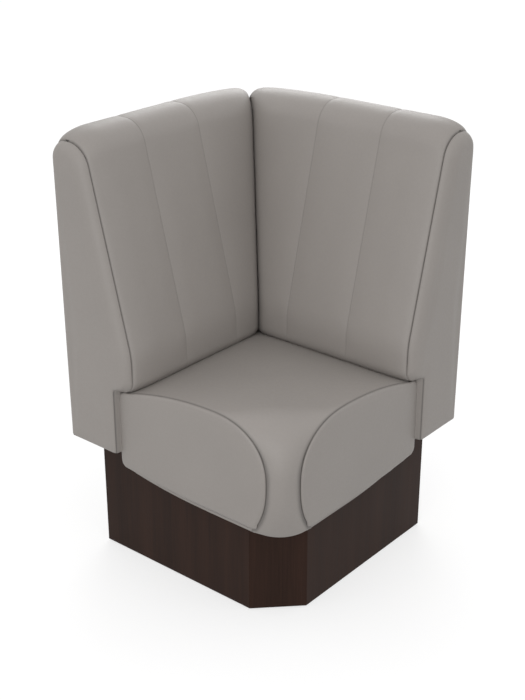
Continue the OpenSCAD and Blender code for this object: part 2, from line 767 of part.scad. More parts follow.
// Places a [depth, height] outline at a station
function at_station(line, st) = [for (p = line) [p[0], st[1] > 0
    ? seam_inner + st[1] * (bench_w - p[0] - mitre_gap - seam_inner) : st[0], p[1]]];

function cover_row(st, off) = at_station(concat(
    [[back_lower_d - off, back_base_z], [back_lower_d - off, back_under_z + off]],
    station_face(st, off), [[off, staple_z]]), st);

module back_cover(stations) {
    color(cover_colour) sheet([for (st = stations) cover_row(st, 0)],
        [for (st = stations) cover_row(st, cover_t)]);
}

// Evenly spread points after the first of two, up to the second
function spread(from, to, steps) = [for (i = [1:steps]) from + (to - from) * i / steps];

// The foam's inner side along the boards and over the top rail, with as many points as
// its padded face
function back_foam_inner(off) = let (
        foot = [board_front_d + soft_gap, back_under_z + off],
        knee = [board_front_d + soft_gap, back_knee_z],
        front = [slope_d(board_front_d, frame_top_z) + soft_gap, frame_top_z + soft_gap],
        rear = [rib_rear_d - soft_gap, frame_top_z + soft_gap],
        end = [rib_rear_d - soft_gap, staple_z + soft_gap])
    concat([foot], spread(foot, knee, 4), spread(knee, front, 7), spread(front, rear, 3),
        spread(rear, end, 6));

module back_foam() {
    off = cover_t + soft_gap;
    stations = concat(outer_stations, middle_stations, inner_stations);
    rows = [for (i = [0:len(stations) - 1])
        if (i == 0 || stations[i] != stations[i - 1]) stations[i]];
    color(foam_colour) sheet(
        [for (st = rows) at_station(concat(station_face(st, off), [[off, staple_z + soft_gap]]), st)],
        [for (st = rows) at_station(back_foam_inner(off), st)]);
}

// The padded end: rings that close in from the seam to its flat middle
end_in_shares = [0, 0.17, 0.5, 1];
end_out_shares = [0, 0.5, 0.86, 1];
end_edge_in = 30;
end_rear_in = 12;

function end_ring(i, off) = let (
        share = end_in_shares[i],
        edge = end_edge_in * share,
        front_d = back_lower_d - off - cover_t * share,
        line = concat(
            [[off + end_rear_in * share, back_base_z + off], [front_d, back_base_z + off],
                [front_d, back_under_z + off]],
            back_face(back_front_crown + edge, back_top_crown + edge, end_rear_in * share, edge, off)))
    [for (k = [len(line) - 1:-1:0])
        [line[k][0], back_end_inset - (back_end_inset - off) * end_out_shares[i], line[k][1]]];
function end_rings(off) = [for (i = [0:len(end_in_shares) - 1]) end_ring(i, off)];

module back_cover_end() {
    color(cover_colour) cup(end_rings(0), end_rings(cover_t));
}

module back_end_foam() {
    color(foam_colour) loft(end_rings(cover_t + soft_gap));
}

module back_bolts() {
    color(steel_colour) {
        left_side() for (v = bolt_places)
            translate([bearer_mid_d, v, 0]) bolt(back_base_z - bearer_h, rib_base_z);
        right_side() for (v = bolt_places)
            translate([bearer_mid_d, v, 0]) bolt(back_base_z - bearer_h, rib_base_z);
    }
}

// Steel plates across the mitre, on the bottom boards and under the top rails
plate_low_z = rib_base_z;
plate_high_z = top_rail_z - plate_t;
screw_near = rib_rear_d + rail_w / 2;
screw_along = plate_leg / 2;

module corner_screw_places() {
    for (p = [[screw_near, bench_w - rib_rear_d - screw_along],
            [rib_rear_d + screw_along, bench_w - screw_near]])
        translate([p[0], p[1], 0]) children();
}

module corner_plate(z) {
    difference() {
        prism([[rib_rear_d, bench_w - rib_rear_d], [rib_rear_d + plate_leg, bench_w - rib_rear_d],
            [rib_rear_d, bench_w - rib_rear_d - plate_leg]], z, z + plate_t);
        corner_screw_places() translate([0, 0, z - overrun])
            cylinder(r = screw_r + bolt_gap, h = plate_t + 2 * overrun, $fn = round_fn);
    }
}

module corner_plates() {
    color(steel_colour) left_side() {
        corner_plate(plate_low_z);
        corner_plate(plate_high_z);
    }
}

// Screws through the plates, with their heads on the plates' free faces
module corner_screws() {
    head_h = screw_r;
    color(steel_colour) left_side() corner_screw_places() {
        translate([0, 0, plate_low_z + plate_t - screw_len])
            cylinder(r = screw_r, h = screw_len + overrun, $fn = round_fn);
        translate([0, 0, plate_low_z + plate_t]) cylinder(r = 2 * screw_r, h = head_h, $fn = round_fn);
        translate([0, 0, plate_high_z - overrun])
            cylinder(r = screw_r, h = screw_len + overrun, $fn = round_fn);
        translate([0, 0, plate_high_z - head_h]) cylinder(r = 2 * screw_r, h = head_h, $fn = round_fn);
    }
}

// Pilot holes for those screws in the timber that takes them
module corner_pilot_holes() {
    corner_screw_places() translate([0, 0, plate_low_z + plate_t - screw_len - overrun])
        cylinder(r = screw_r, h = screw_len + overrun, $fn = round_fn);
    corner_screw_places() translate([0, 0, plate_high_z])
        cylinder(r = screw_r, h = screw_len + overrun, $fn = round_fn);
}

left_side() plinth_panel_left();
right_side() plinth_panel_left();  // plinth_panel_right
left_side() plinth_panel_corner();
left_side() plinth_panel_side();
left_side() plinth_panel_rear();
plinth_posts();
plinth_bearers();
seat_cleats();
foot_blocks();
foot_nuts();
foot(foot_places[0]);  // foot_left
foot(foot_places[1]);  // foot_right
foot(foot_places[2]);  // foot_rear
foot(foot_places[3]);  // foot_front
seat_base();
left_side() seat_rail_end();  // seat_rail_left
right_side() seat_rail_end();  // seat_rail_right
seat_rail_corner();
seat_rear_rails();
union() { left_side() seat_blocks_end(); right_side() seat_blocks_end(); }  // seat_blocks
seat_cross_rail();
seat_deck();
left_side() seat_foam();
left_side() seat_pad();  // seat_pad_left
right_side() seat_pad();  // seat_pad_right
left_side() seat_cover_top();
left_side() seat_cover_end();  // seat_cover_left
right_side() seat_cover_end();  // seat_cover_right
seat_bolts();
left_side() back_bottom_board();  // left_bottom_board
left_side() back_ribs();  // left_ribs
left_side() back_top_rail();  // left_top_rail
left_side() back_knee_rail();  // left_knee_rail
left_side() back_lower_board();  // left_lower_board
left_side() back_upper_board();  // left_upper_board
left_side() back_rear_board();  // left_rear_board
left_side() back_foam();  // left_foam
left_side() back_end_foam();  // left_end_foam
left_side() back_cover(outer_stations);  // left_cover_outer
left_side() back_cover(middle_stations);  // left_cover_middle
left_side() back_cover(inner_stations);  // left_cover_inner
left_side() back_cover_end();  // left_cover_end
left_side() back_cover_rear();  // left_cover_rear
right_side() back_bottom_board();  // right_bottom_board
right_side() back_ribs();  // right_ribs
right_side() back_top_rail();  // right_top_rail
right_side() back_knee_rail();  // right_knee_rail
right_side() back_lower_board();  // right_lower_board
right_side() back_upper_board();  // right_upper_board
right_side() back_rear_board();  // right_rear_board
right_side() back_foam();  // right_foam
right_side() back_end_foam();  // right_end_foam
right_side() back_cover(outer_stations);  // right_cover_outer
right_side() back_cover(middle_stations);  // right_cover_middle
right_side() back_cover(inner_stations);  // right_cover_inner
right_side() back_cover_end();  // right_cover_end
right_side() back_cover_rear();  // right_cover_rear
back_bolts();
corner_plates();
corner_screws();
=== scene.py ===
"""Looks of an upholstered corner banquette unit.

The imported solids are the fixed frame, in metres: +Z up, the origin on the floor under the
middle of the unit, the left back along -X, the right back along +Y and the front corner
towards +X, -Y. The left hand pieces are built and the right hand ones are their mirror
image in the upright plane through the wall corner and the front corner.
"""
import json
import logging
import math
from collections.abc import Callable, Iterator
from contextlib import contextmanager
from dataclasses import dataclass
from enum import Enum

import bmesh
import bpy
import numpy as np
from mathutils import Matrix, Vector
from mathutils.geometry import tessellate_polygon


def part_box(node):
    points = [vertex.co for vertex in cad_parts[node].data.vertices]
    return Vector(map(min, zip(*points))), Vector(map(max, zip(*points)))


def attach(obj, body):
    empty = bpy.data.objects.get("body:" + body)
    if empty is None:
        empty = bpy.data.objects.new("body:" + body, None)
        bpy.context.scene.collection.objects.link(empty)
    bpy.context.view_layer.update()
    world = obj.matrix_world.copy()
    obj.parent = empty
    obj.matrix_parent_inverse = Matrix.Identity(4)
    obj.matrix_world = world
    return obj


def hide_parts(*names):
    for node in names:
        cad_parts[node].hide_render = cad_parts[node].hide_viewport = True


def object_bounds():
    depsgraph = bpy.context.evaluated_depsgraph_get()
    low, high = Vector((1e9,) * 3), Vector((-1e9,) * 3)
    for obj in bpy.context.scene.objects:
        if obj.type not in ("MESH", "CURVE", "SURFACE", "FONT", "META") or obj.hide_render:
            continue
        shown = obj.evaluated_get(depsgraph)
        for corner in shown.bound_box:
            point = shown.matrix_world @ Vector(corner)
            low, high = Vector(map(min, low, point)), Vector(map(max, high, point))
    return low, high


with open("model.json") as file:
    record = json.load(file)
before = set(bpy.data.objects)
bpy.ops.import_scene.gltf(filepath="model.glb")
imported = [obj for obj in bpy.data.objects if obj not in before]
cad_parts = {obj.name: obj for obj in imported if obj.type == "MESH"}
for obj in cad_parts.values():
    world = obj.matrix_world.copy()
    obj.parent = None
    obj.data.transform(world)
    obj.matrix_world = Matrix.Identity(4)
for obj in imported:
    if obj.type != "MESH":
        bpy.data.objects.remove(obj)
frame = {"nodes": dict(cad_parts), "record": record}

MM = 0.001
BENCH = "bench"
CAD_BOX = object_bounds()
MIRROR = Matrix(((0, -1, 0, 0), (-1, 0, 0, 0), (0, 0, 1, 0), (0, 0, 0, 1)))
GROOVE = tuple(step * MM for step in (0, 0.7, 1.5, 2.6, 4.2, 6.5, 9.5, 13))
ACROSS_Y = (0, 1, 0)
ACROSS_X = (1, 0, 0)
WHITE = (1, 1, 1, 1)

Piece = bpy.types.Object
Socket = bpy.types.NodeSocket

log = logging.getLogger("banquette")


class Side(Enum):
    """The two halves of the unit, seen from the front corner."""

    LEFT = "left"
    RIGHT = "right"


class Slot(Enum):
    """Material slots of the record."""

    COVER = "cover"
    CLOTH = "cloth"
    FOAM = "foam"
    PLINTH = "plinth"
    PLY = "ply"
    TIMBER = "timber"
    STEEL = "steel"


Finishes = dict[Slot, bpy.types.Material]


# Meshes


def linked(name: str, data: bpy.types.ID) -> Piece:
    """Makes an object of a mesh, camera or light and puts it in the scene.

    Args:
        name: The object's name.
        data: The mesh, camera or light.

    Returns:
        The object, at the origin.
    """
    thing = bpy.data.objects.new(name, data)
    bpy.context.scene.collection.objects.link(thing)
    return thing


def solo(piece: Piece) -> None:
    """Makes a piece the one selected and active object.

    Args:
        piece: The piece.
    """
    bpy.ops.object.select_all(action="DESELECT")
    piece.select_set(True)
    bpy.context.view_layer.objects.active = piece


@contextmanager
def editing(piece: Piece) -> Iterator[None]:
    """Opens a piece in edit mode with all of it selected, and closes it afterwards.

    Args:
        piece: The piece.

    Yields:
        Nothing, while the piece is open.
    """
    solo(piece)
    bpy.ops.object.mode_set(mode="EDIT")
    bpy.ops.mesh.select_all(action="SELECT")
    yield
    bpy.ops.object.mode_set(mode="OBJECT")


def piece_from(name: str, points: np.ndarray, faces: list) -> Piece:
    """Makes a piece from points and faces.

    Args:
        name: The piece's name.
        points: Its points, in metres.
        faces: Its faces, as indices of points.

    Returns:
        The new piece, at the origin.
    """
    mesh = bpy.data.meshes.new(name)
    mesh.from_pydata(np.asarray(points, float).reshape(-1, 3).tolist(), [], faces)
    return linked(name, mesh)


def rows_of(items: bpy.types.bpy_prop_collection, key: str, width: int, kind: type = float) -> np.ndarray:
    """Reads a property of a mesh's items.

    Args:
        items: The mesh's points, edges or normals.
        key: The property's name.
        width: How many numbers it holds.
        kind: The kind of those numbers.

    Returns:
        The numbers, one row for each item.
    """
    flat = np.zeros(len(items) * width, kind)
    items.foreach_get(key, flat)
    return flat.reshape(-1, width)


def points_of(piece: Piece) -> np.ndarray:
    """The piece's points, one row each."""
    return rows_of(piece.data.vertices, "co", 3)


def normals_of(piece: Piece) -> np.ndarray:
    """The piece's point normals, one row each."""
    return rows_of(piece.data.vertex_normals, "vector", 3)


def edges_of(piece: Piece) -> np.ndarray:
    """The piece's edges, as pairs of point indices."""
    return rows_of(piece.data.edges, "vertices", 2, np.int32)


def set_points(piece: Piece, points: np.ndarray) -> None:
    """Moves the piece's points."""
    piece.data.vertices.foreach_set("co", points.astype(np.float32).ravel())
    piece.data.update()


def mark_points(piece: Piece, name: str, values: np.ndarray) -> None:
    """Stores a value for each point, and keeps a higher one that is already there.

    Args:
        piece: The piece.
        name: The attribute's name.
        values: The values, from 0 to 1.
    """
    attributes = piece.data.attributes
    attribute = attributes.get(name) or attributes.new(name, "FLOAT", "POINT")
    before = np.zeros(len(values), np.float32)
    attribute.data.foreach_get("value", before)
    attribute.data.foreach_set("value", np.maximum(values, before).astype(np.float32))


def take_mark(piece: Piece, name: str) -> np.ndarray:
    """Reads which points are marked, and removes the mark.

    Args:
        piece: The piece.
        name: The attribute's name.

    Returns:
        1 for each point that is marked and 0 for the others.
    """
    attributes = piece.data.attributes
    values = np.zeros(len(piece.data.vertices), np.float32)
    attributes[name].data.foreach_get("value", values)
    attributes.remove(attributes[name])
    return (values > 0.5).astype(float)


def apply(piece: Piece, kind: str, **settings: object) -> None:
    """Adds a modifier to a piece and applies it.

    Args:
        piece: The piece.
        kind: The modifier's type.
        **settings: Its settings.
    """
    solo(piece)
    modifier = piece.modifiers.new(kind.title(), kind)
    for key, value in settings.items():
        setattr(modifier, key, value)
    bpy.ops.object.modifier_apply(modifier=modifier.name)


def face_outwards(piece: Piece) -> None:
    """Turns the faces of a closed piece outwards."""
    with editing(piece):
        bpy.ops.mesh.normals_make_consistent(inside=False)


def smooth(piece: Piece, angle: float = 40.0) -> None:
    """Shades a piece smooth, with edges sharper than an angle in degrees left hard."""
    solo(piece)
    bpy.ops.object.shade_smooth_by_angle(angle=math.radians(angle))


def copy_node(name: str, node: str) -> Piece:
    """Copies a CAD node's mesh into a new piece, with its doubles merged.

    Args:
        name: The new piece's name.
        node: The node to copy.

    Returns:
        The new piece.
    """
    mesh = frame["nodes"][node].data.copy()
    mesh.name = name
    mesh.materials.clear()
    piece = linked(name, mesh)
    with editing(piece):
        bpy.ops.mesh.remove_doubles(threshold=0.01 * MM)
        bpy.ops.mesh.dissolve_limited(angle_limit=math.radians(0.5))
    return piece


def with_mirror(piece: Piece, name: str) -> dict:
    """Adds the mirror image of a left hand piece, with its own mesh.

    Args:
        piece: The left hand piece.
        name: The right hand piece's name.

    Returns:
        Both pieces, by side.
    """
    mesh = piece.data.copy()
    mesh.name = name
    mesh.transform(MIRROR)
    mesh.flip_normals()
    return {Side.LEFT: piece, Side.RIGHT: linked(name, mesh)}


def tube(name: str, rings: np.ndarray) -> Piece:
    """Makes a closed piece through closed rings, with a flat face at each end.

    Args:
        name: The piece's name.
        rings: The rings' points, as an array of ring, point and axis.

    Returns:
        The piece.
    """
    count, size = rings.shape[:2]
    faces = []
    for i in range(count - 1):
        for j in range(size):
            k = (j + 1) % size
            faces.append((i * size + j, i * size + k, (i + 1) * size + k, (i + 1) * size + j))
    for end in (0, count - 1):
        ring = [Vector(p) for p in rings[end]]
        faces += [tuple(end * size + k for k in face) for face in tessellate_polygon([ring])]
    piece = piece_from(name, rings, faces)
    face_outwards(piece)
    return piece


def arc(centre: tuple, radius: float, start: float, end: float, steps: int) -> np.ndarray:
    """Works out points of an arc.

    Args:
        centre: The arc's centre.
        radius: The arc's radius.
        start: Its first angle, in degrees.
        end: Its last angle, in degrees.
        steps: How many steps it has.

    Returns:
        The points, one row each.
    """
    a = np.radians(np.linspace(start, end, steps + 1))
    return np.stack([centre[0] + radius * np.cos(a), centre[1] + radius * np.sin(a)], axis=1)


def joined(stretches: list, steps: tuple) -> np.ndarray:
    """Joins stretches of a line by straight runs.

    Args:
        stretches: The points of each stretch.
        steps: How many steps lead from each stretch to the next.

    Returns:
        The line's points, one row each.
    """
    parts = [np.atleast_2d(points) for points in stretches]
    line = list(parts[0])
    for part, count in zip(parts[1:], steps):
        start, end = line[-1], part[0]
        line += [start + (end - start) * k / count for k in range(1, count)]
        line += list(part)
    return np.array(line)


# Soft pieces


@dataclass(frozen=True)
class Seam:
    """A sewn line in an upright plane, where the cover is pulled in and painted shade darkens it.

    Attributes:
        point: A point of the plane.
        normal: The plane's direction.
        depth: How deep the seam's groove lies.
        width: Half width of the seam's groove.
        soft_depth: How deep the padding is drawn in beside it.
        soft_width: Half width of that soft hollow.
        show: How dark the painted shade along the seam is.
        spread: How much wider that painted shade is where the cover faces up.
    """

    point: tuple
    normal: tuple
    depth: float = 0.0
    width: float = 1.0 * MM
    soft_depth: float = 0.0
    soft_width: float = 6.0 * MM
    show: float = 1.0
    spread: float = 0.0

    LOOK_WIDTH = 1.6

    @property
    def direction(self) -> np.ndarray:
        """The plane's direction, with a length of 1."""
        return np.array(self.normal) / np.linalg.norm(self.normal)

    def distance(self, points: np.ndarray) -> np.ndarray:
        """How far points are from the seam's plane."""
        return np.abs((points - np.array(self.point)) @ self.direction)

    def hollow(self, distance: np.ndarray) -> np.ndarray:
        """How deep the cover lies at distances from the seam."""
        sharp = self.depth * np.exp(-(distance / self.width) ** 2)
        return sharp + self.soft_depth * np.exp(-(distance / self.soft_width) ** 2)

    def seam_shade(self, distance: np.ndarray, up: np.ndarray) -> np.ndarray:
        """How dark the painted shade in the seam's groove is at distances from it, widened where the cover
        faces up by some share.
        """
        # Painted shade: a dark band along the seam, wider on faces that point up.
        width = self.LOOK_WIDTH * self.width * (1 + self.spread * np.clip(up, 0, 1))
        return self.show * np.exp(-(distance / width) ** 2)


@dataclass(frozen=True)
class RolledEdge(Seam):
    """A padded edge that is rounded towards a plane, with no painted seam shade."""

    radius: float = 8.0 * MM

    def hollow(self, distance: np.ndarray) -> np.ndarray:
        """How far the edge falls away at distances from the plane."""
        near = np.clip(self.radius - distance, 0, self.radius)
        return self.radius - np.sqrt(self.radius**2 - near**2)

    def seam_shade(self, distance: np.ndarray, up: np.ndarray) -> np.ndarray:
        """No painted shade is laid along it."""
        return np.zeros(len(distance))


def carve(piece: Piece, seams: list, skin: np.ndarray, fade: np.ndarray | None = None) -> None:
    """Draws a cover in along its seams, and marks how dark each point is painted as shade along them.

    Args:
        piece: The padded piece.
        seams: Its seams.
        skin: For each point, whether it lies on the cover.
        fade: For each point, how strongly the seams show there.
    """
    points, normals = points_of(piece), normals_of(piece)
    moved = points.copy()
    mark = np.zeros(len(points))
    strength = np.ones(len(points)) if fade is None else fade
    least = 0.2
    for seam in seams:
        plane = seam.direction
        flat = normals - np.outer(normals @ plane, plane)
        size = np.linalg.norm(flat, axis=1)
        flat = np.where(size[:, None] > least, flat / np.maximum(size, 1e-9)[:, None], 0)
        distance = seam.distance(points)
        moved -= flat * (seam.hollow(distance) * strength * skin)[:, None]
        # The mark is painted shade along each seam's groove, which the leather material darkens by.
        mark = np.maximum(mark, seam.seam_shade(distance, normals[:, 2]) * strength)
    set_points(piece, moved)
    mark_points(piece, "seam", mark)


def spread_moves(moves: np.ndarray, edges: np.ndarray, held: np.ndarray, rounds: int) -> np.ndarray:
    """Evens out how points have moved, by averaging along the edges.

    Args:
        moves: How far each point has moved.
        edges: The edges between the points.
        held: For each point, how firmly it is held, from 0 to 1.
        rounds: How many times the moves are averaged.

    Returns:
        The evened moves.
    """
    count = np.bincount(edges.ravel(), minlength=len(moves)).astype(float)
    for _ in range(rounds):
        total = np.zeros_like(moves)
        np.add.at(total, edges[:, 0], moves[edges[:, 1]])
        np.add.at(total, edges[:, 1], moves[edges[:, 0]])
        moves = 0.5 * moves + 0.5 * total / np.maximum(count, 1)[:, None]
        moves *= (1 - held)[:, None]
    return moves


@dataclass(frozen=True)
class Inflation:
    """How a padded piece is blown up under its cover.

    Attributes:
        cap: The most that a point may move.
        pressure: The air pressure in the cloth simulation.
        stiffness: How much the cover resists stretching and squeezing.
        bending: How much the cover resists bending.
        mass: The mass of each point.
        quality: How finely the simulation steps.
        frames: How many frames the simulation runs.
        rounds: How often the moves are evened out.
    """

    cap: float
    pressure: float = 4.0
    stiffness: float = 15.0
    bending: float = 2.0
    mass: float = 0.3
    quality: int = 5
    frames: int = 20
    rounds: int = 10

    def run(self, piece: Piece, held: np.ndarray) -> None:
        """Inflates a piece between the points that are held, and lets no point sink in.

        Args:
            piece: The padded piece.
            held: For each point, how firmly it is held, from 0 to 1.
        """
        rest, edges, normals = points_of(piece), edges_of(piece), normals_of(piece)
        moves = self.simulate(piece, held) - rest
        sunk = np.minimum((moves * normals).sum(axis=1), 0)
        moves -= normals * sunk[:, None]
        size = np.linalg.norm(moves, axis=1)
        log.info("%s swells by %.1f mm at most before the cap", piece.name, size.max() / MM)
        moves *= (self.cap * np.tanh(size / self.cap) / np.maximum(size, 1e-9))[:, None]
        set_points(piece, rest + spread_moves(moves, edges, held, self.rounds))

    def simulate(self, piece: Piece, held: np.ndarray) -> np.ndarray:
        """Runs the cloth simulation and applies it.

        Args:
            piece: The padded piece.
            held: For each point, how firmly it is held, from 0 to 1.

        Returns:
            The points after the simulation.
        """
        levels = np.round(held, 2)
        group = piece.vertex_groups.new(name="held")
        for level in np.unique(levels[levels > 0]):
            group.add(np.flatnonzero(levels == level).tolist(), float(level), "REPLACE")
        solo(piece)
        cloth = piece.modifiers.new("Cloth", "CLOTH")
        settings = cloth.settings
        settings.quality = self.quality
        settings.mass = self.mass
        settings.tension_stiffness = self.stiffness
        settings.compression_stiffness = self.stiffness
        settings.bending_stiffness = self.bending
        settings.use_pressure = True
        settings.uniform_pressure_force = self.pressure
        settings.vertex_group_mass = group.name
        settings.effector_weights.gravity = 0
        cloth.collision_settings.use_self_collision = False
        cloth.point_cache.frame_start = 1
        cloth.point_cache.frame_end = self.frames
        for step in range(1, self.frames + 1):
            bpy.context.scene.frame_set(step)
        bpy.ops.object.modifier_apply(modifier=cloth.name)
        piece.vertex_groups.remove(piece.vertex_groups["held"])
        bpy.context.scene.frame_set(1)
        return points_of(piece)


def soften(piece: Piece, width: float) -> None:
    """Eases the sharp edges of a board, and keeps its faces flat in the shading.

    Args:
        piece: The board.
        width: How far from an edge its rounding starts.
    """
    with editing(piece):
        bpy.ops.mesh.select_mode(type="EDGE")
        bpy.ops.mesh.select_all(action="DESELECT")
        bpy.ops.mesh.edges_select_sharp(sharpness=math.radians(30))
        bpy.ops.mesh.bevel(offset=width, segments=2, affect="EDGES")
    smooth(piece, 35)
    apply(piece, "WEIGHTED_NORMAL", keep_sharp=True)


def crease_rims(piece: Piece, rim: np.ndarray, angle: float = 25.0) -> None:
    """Creases the sharp edges between rim points, so that subdivision keeps them.

    Args:
        piece: The piece.
        rim: For each point, whether its edges may be sharp.
        angle: How sharp an edge is that gets a crease, in degrees.
    """
    mesh = bmesh.new()
    mesh.from_mesh(piece.data)
    layer = mesh.edges.layers.float.get("crease_edge") or mesh.edges.layers.float.new("crease_edge")
    for edge in mesh.edges:
        both = rim[edge.verts[0].index] and rim[edge.verts[1].index]
        if both and len(edge.link_faces) == 2 and edge.calc_face_angle(0) > math.radians(angle):
            edge[layer] = 1.0
    mesh.to_mesh(piece.data)
    mesh.free()


def fit_rim(piece: Piece, seam: Seam, outline: np.ndarray, reach: float) -> None:
    """Moves the rim of a cut pad onto the outline of its seam, less and less away from it.

    Args:
        piece: The padded piece, with its seam in a plane across Y.
        seam: The seam.
        outline: Points of the closed outline.
        reach: How far from the seam's plane the rim is moved.
    """
    points = points_of(piece)
    distance = seam.distance(points)
    near = np.flatnonzero(distance < 2.5 * reach)
    flat = points[near][:, [0, 2]]
    start = outline[:, [0, 2]]
    along = np.roll(start, -1, axis=0) - start
    share = ((flat[:, None] - start) * along).sum(-1) / np.maximum((along**2).sum(-1), 1e-12)
    foot = start + np.clip(share, 0, 1)[..., None] * along
    gap = np.linalg.norm(foot - flat[:, None], axis=-1)
    move = foot[np.arange(len(near)), gap.argmin(axis=1)] - flat
    weight = np.exp(-(distance[near] / reach) ** 2) * (gap.min(axis=1) < 3 * reach)
    points[near[:, None], [0, 2]] += move * weight[:, None]
    set_points(piece, points)


def cut_clean(piece: Piece, point: tuple, normal: tuple, loops: tuple = ()) -> None:
    """Cuts a piece at a plane, closes the cut, and adds edge loops beside it.

    Args:
        piece: The piece.
        point: A point of the plane.
        normal: The plane's normal, which points to the side that is removed.
        loops: Distances from the plane of the added loops.
    """
    normal = Vector(normal).normalized()
    with editing(piece):
        for away in sorted(loops, reverse=True):
            bpy.ops.mesh.select_all(action="SELECT")
            bpy.ops.mesh.bisect(plane_co=Vector(point) - normal * away, plane_no=normal)
        bpy.ops.mesh.select_all(action="SELECT")
        bpy.ops.mesh.bisect(plane_co=point, plane_no=normal, use_fill=True, clear_outer=True)


@dataclass(frozen=True)
class EndShaping:
    """How a padded end is blown up and cut flat at its seam.

    Attributes:
        gap: Space between the two covers at the seam.
        hold: How far from the seam the cover is held while it swells.
        reach: How far from the seam the rim is fitted to its outline.
        cap: The most that a point may swell out.
        voxel: The cell of the even mesh that is blown up.
    """

    gap: float
    hold: float
    reach: float
    cap: float = 2.5 * MM
    voxel: float = 4 * MM

    def shape(self, pad: Piece, seam: Seam, outline: np.ndarray, loops: tuple = ()) -> None:
        """Blows up a padded end, cuts it at its seam and fits its rim.

        Args:
            pad: The padded end, which reaches past its seam.
            seam: The seam, in a plane across Y.
            outline: Points of the closed outline at the seam.
            loops: Distances from the cut of further edge loops, besides those of the seam's groove.
        """
        seam_y = seam.point[1]
        apply(pad, "REMESH", mode="VOXEL", voxel_size=self.voxel)
        apply(pad, "SMOOTH", factor=0.5, iterations=3)
        outside = np.minimum(points_of(pad)[:, 1] - seam_y, 0)
        Inflation(self.cap).run(pad, np.exp(-(outside / self.hold) ** 2))
        apply(pad, "SUBSURF", levels=1, render_levels=1)
        cut_clean(pad, (0, seam_y - self.gap / 2, 0), ACROSS_Y, (*GROOVE[1:4], *loops))
        fit_rim(pad, seam, outline, self.reach)


def finish_pad(pad: Piece, rim: np.ndarray, skin: np.ndarray, seams: list,
               fade: Callable | None = None) -> None:
    """Subdivides a swollen pad and draws its cover in along the seams.

    Args:
        pad: The pad.
        rim: For each point, whether its edges may be sharp.
        skin: For each point, whether it lies on the cover.
        seams: The pad's seams.
        fade: Works out how strongly the seams show at given points.
    """
    crease_rims(pad, rim)
    mark_points(pad, "skin", skin)
    apply(pad, "SUBSURF", levels=1, render_levels=1)
    skin = take_mark(pad, "skin")
    carve(pad, seams, skin, fade(points_of(pad)) if fade else None)
    smooth(pad)


def dress(piece: Piece, slot: Slot, finish: Finishes, nodes: tuple = ()) -> None:
    """Gives a piece the material of its slot, hangs it on the bench's body, and hides the CAD nodes that it
    replaces.

    Args:
        piece: The piece.
        slot: The record's material slot.
        finish: The materials by slot.
        nodes: The CAD nodes that it replaces.
    """
    piece.data.materials.clear()
    piece.data.materials.append(finish[slot])
    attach(piece, BENCH)
    if nodes:
        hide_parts(*nodes)
    log.info("%s: %d faces", piece.name, len(piece.data.polygons))


def dress_pad(pad: Piece, finish: Finishes, nodes: tuple) -> None:
    """Covers a padded piece, which stands for CAD nodes."""
    dress(pad, Slot.COVER, finish, nodes)


# Finishes


class Nodes:
    """A node tree under way, with short calls to add and join its nodes."""

    def __init__(self, tree: bpy.types.NodeTree) -> None:
        """Holds the tree."""
        self.tree = tree

    def plug(self, socket: Socket, value: object) -> None:
        """Gives an input a value, or joins an output to it.

        Args:
            socket: The input.
            value: The value or the output.
        """
        if isinstance(value, Socket):
            self.tree.links.new(value, socket)
        else:
            socket.default_value = value

    def add(self, kind: str, inputs: dict | None = None, **settings: object) -> bpy.types.Node:
        """Adds a node.

        Args:
            kind: The node's type.
            inputs: Values of its input sockets, by name or number.
            **settings: Its own settings.

        Returns:
            The node.
        """
        node = self.tree.nodes.new(kind)
        for key, value in settings.items():
            setattr(node, key, value)
        for key, value in (inputs or {}).items():
            self.plug(node.inputs[key], value)
        return node

    def math(self, operation: str, a: object, b: object) -> Socket:
        """Works out one value from two."""
        return self.add("ShaderNodeMath", {0: a, 1: b}, operation=operation).outputs[0]

    def seen(self) -> Socket:
        """Tells which rays see the backdrop, straight or in gloss or glass.

        Returns:
            A socket that is 1 for those rays and 0 for the others.
        """
        path = self.add("ShaderNodeLightPath").outputs
        direct = self.math("MAXIMUM", path["Is Camera Ray"], path["Is Glossy Ray"])
        return self.math("MAXIMUM", direct, path["Is Transmission Ray"])


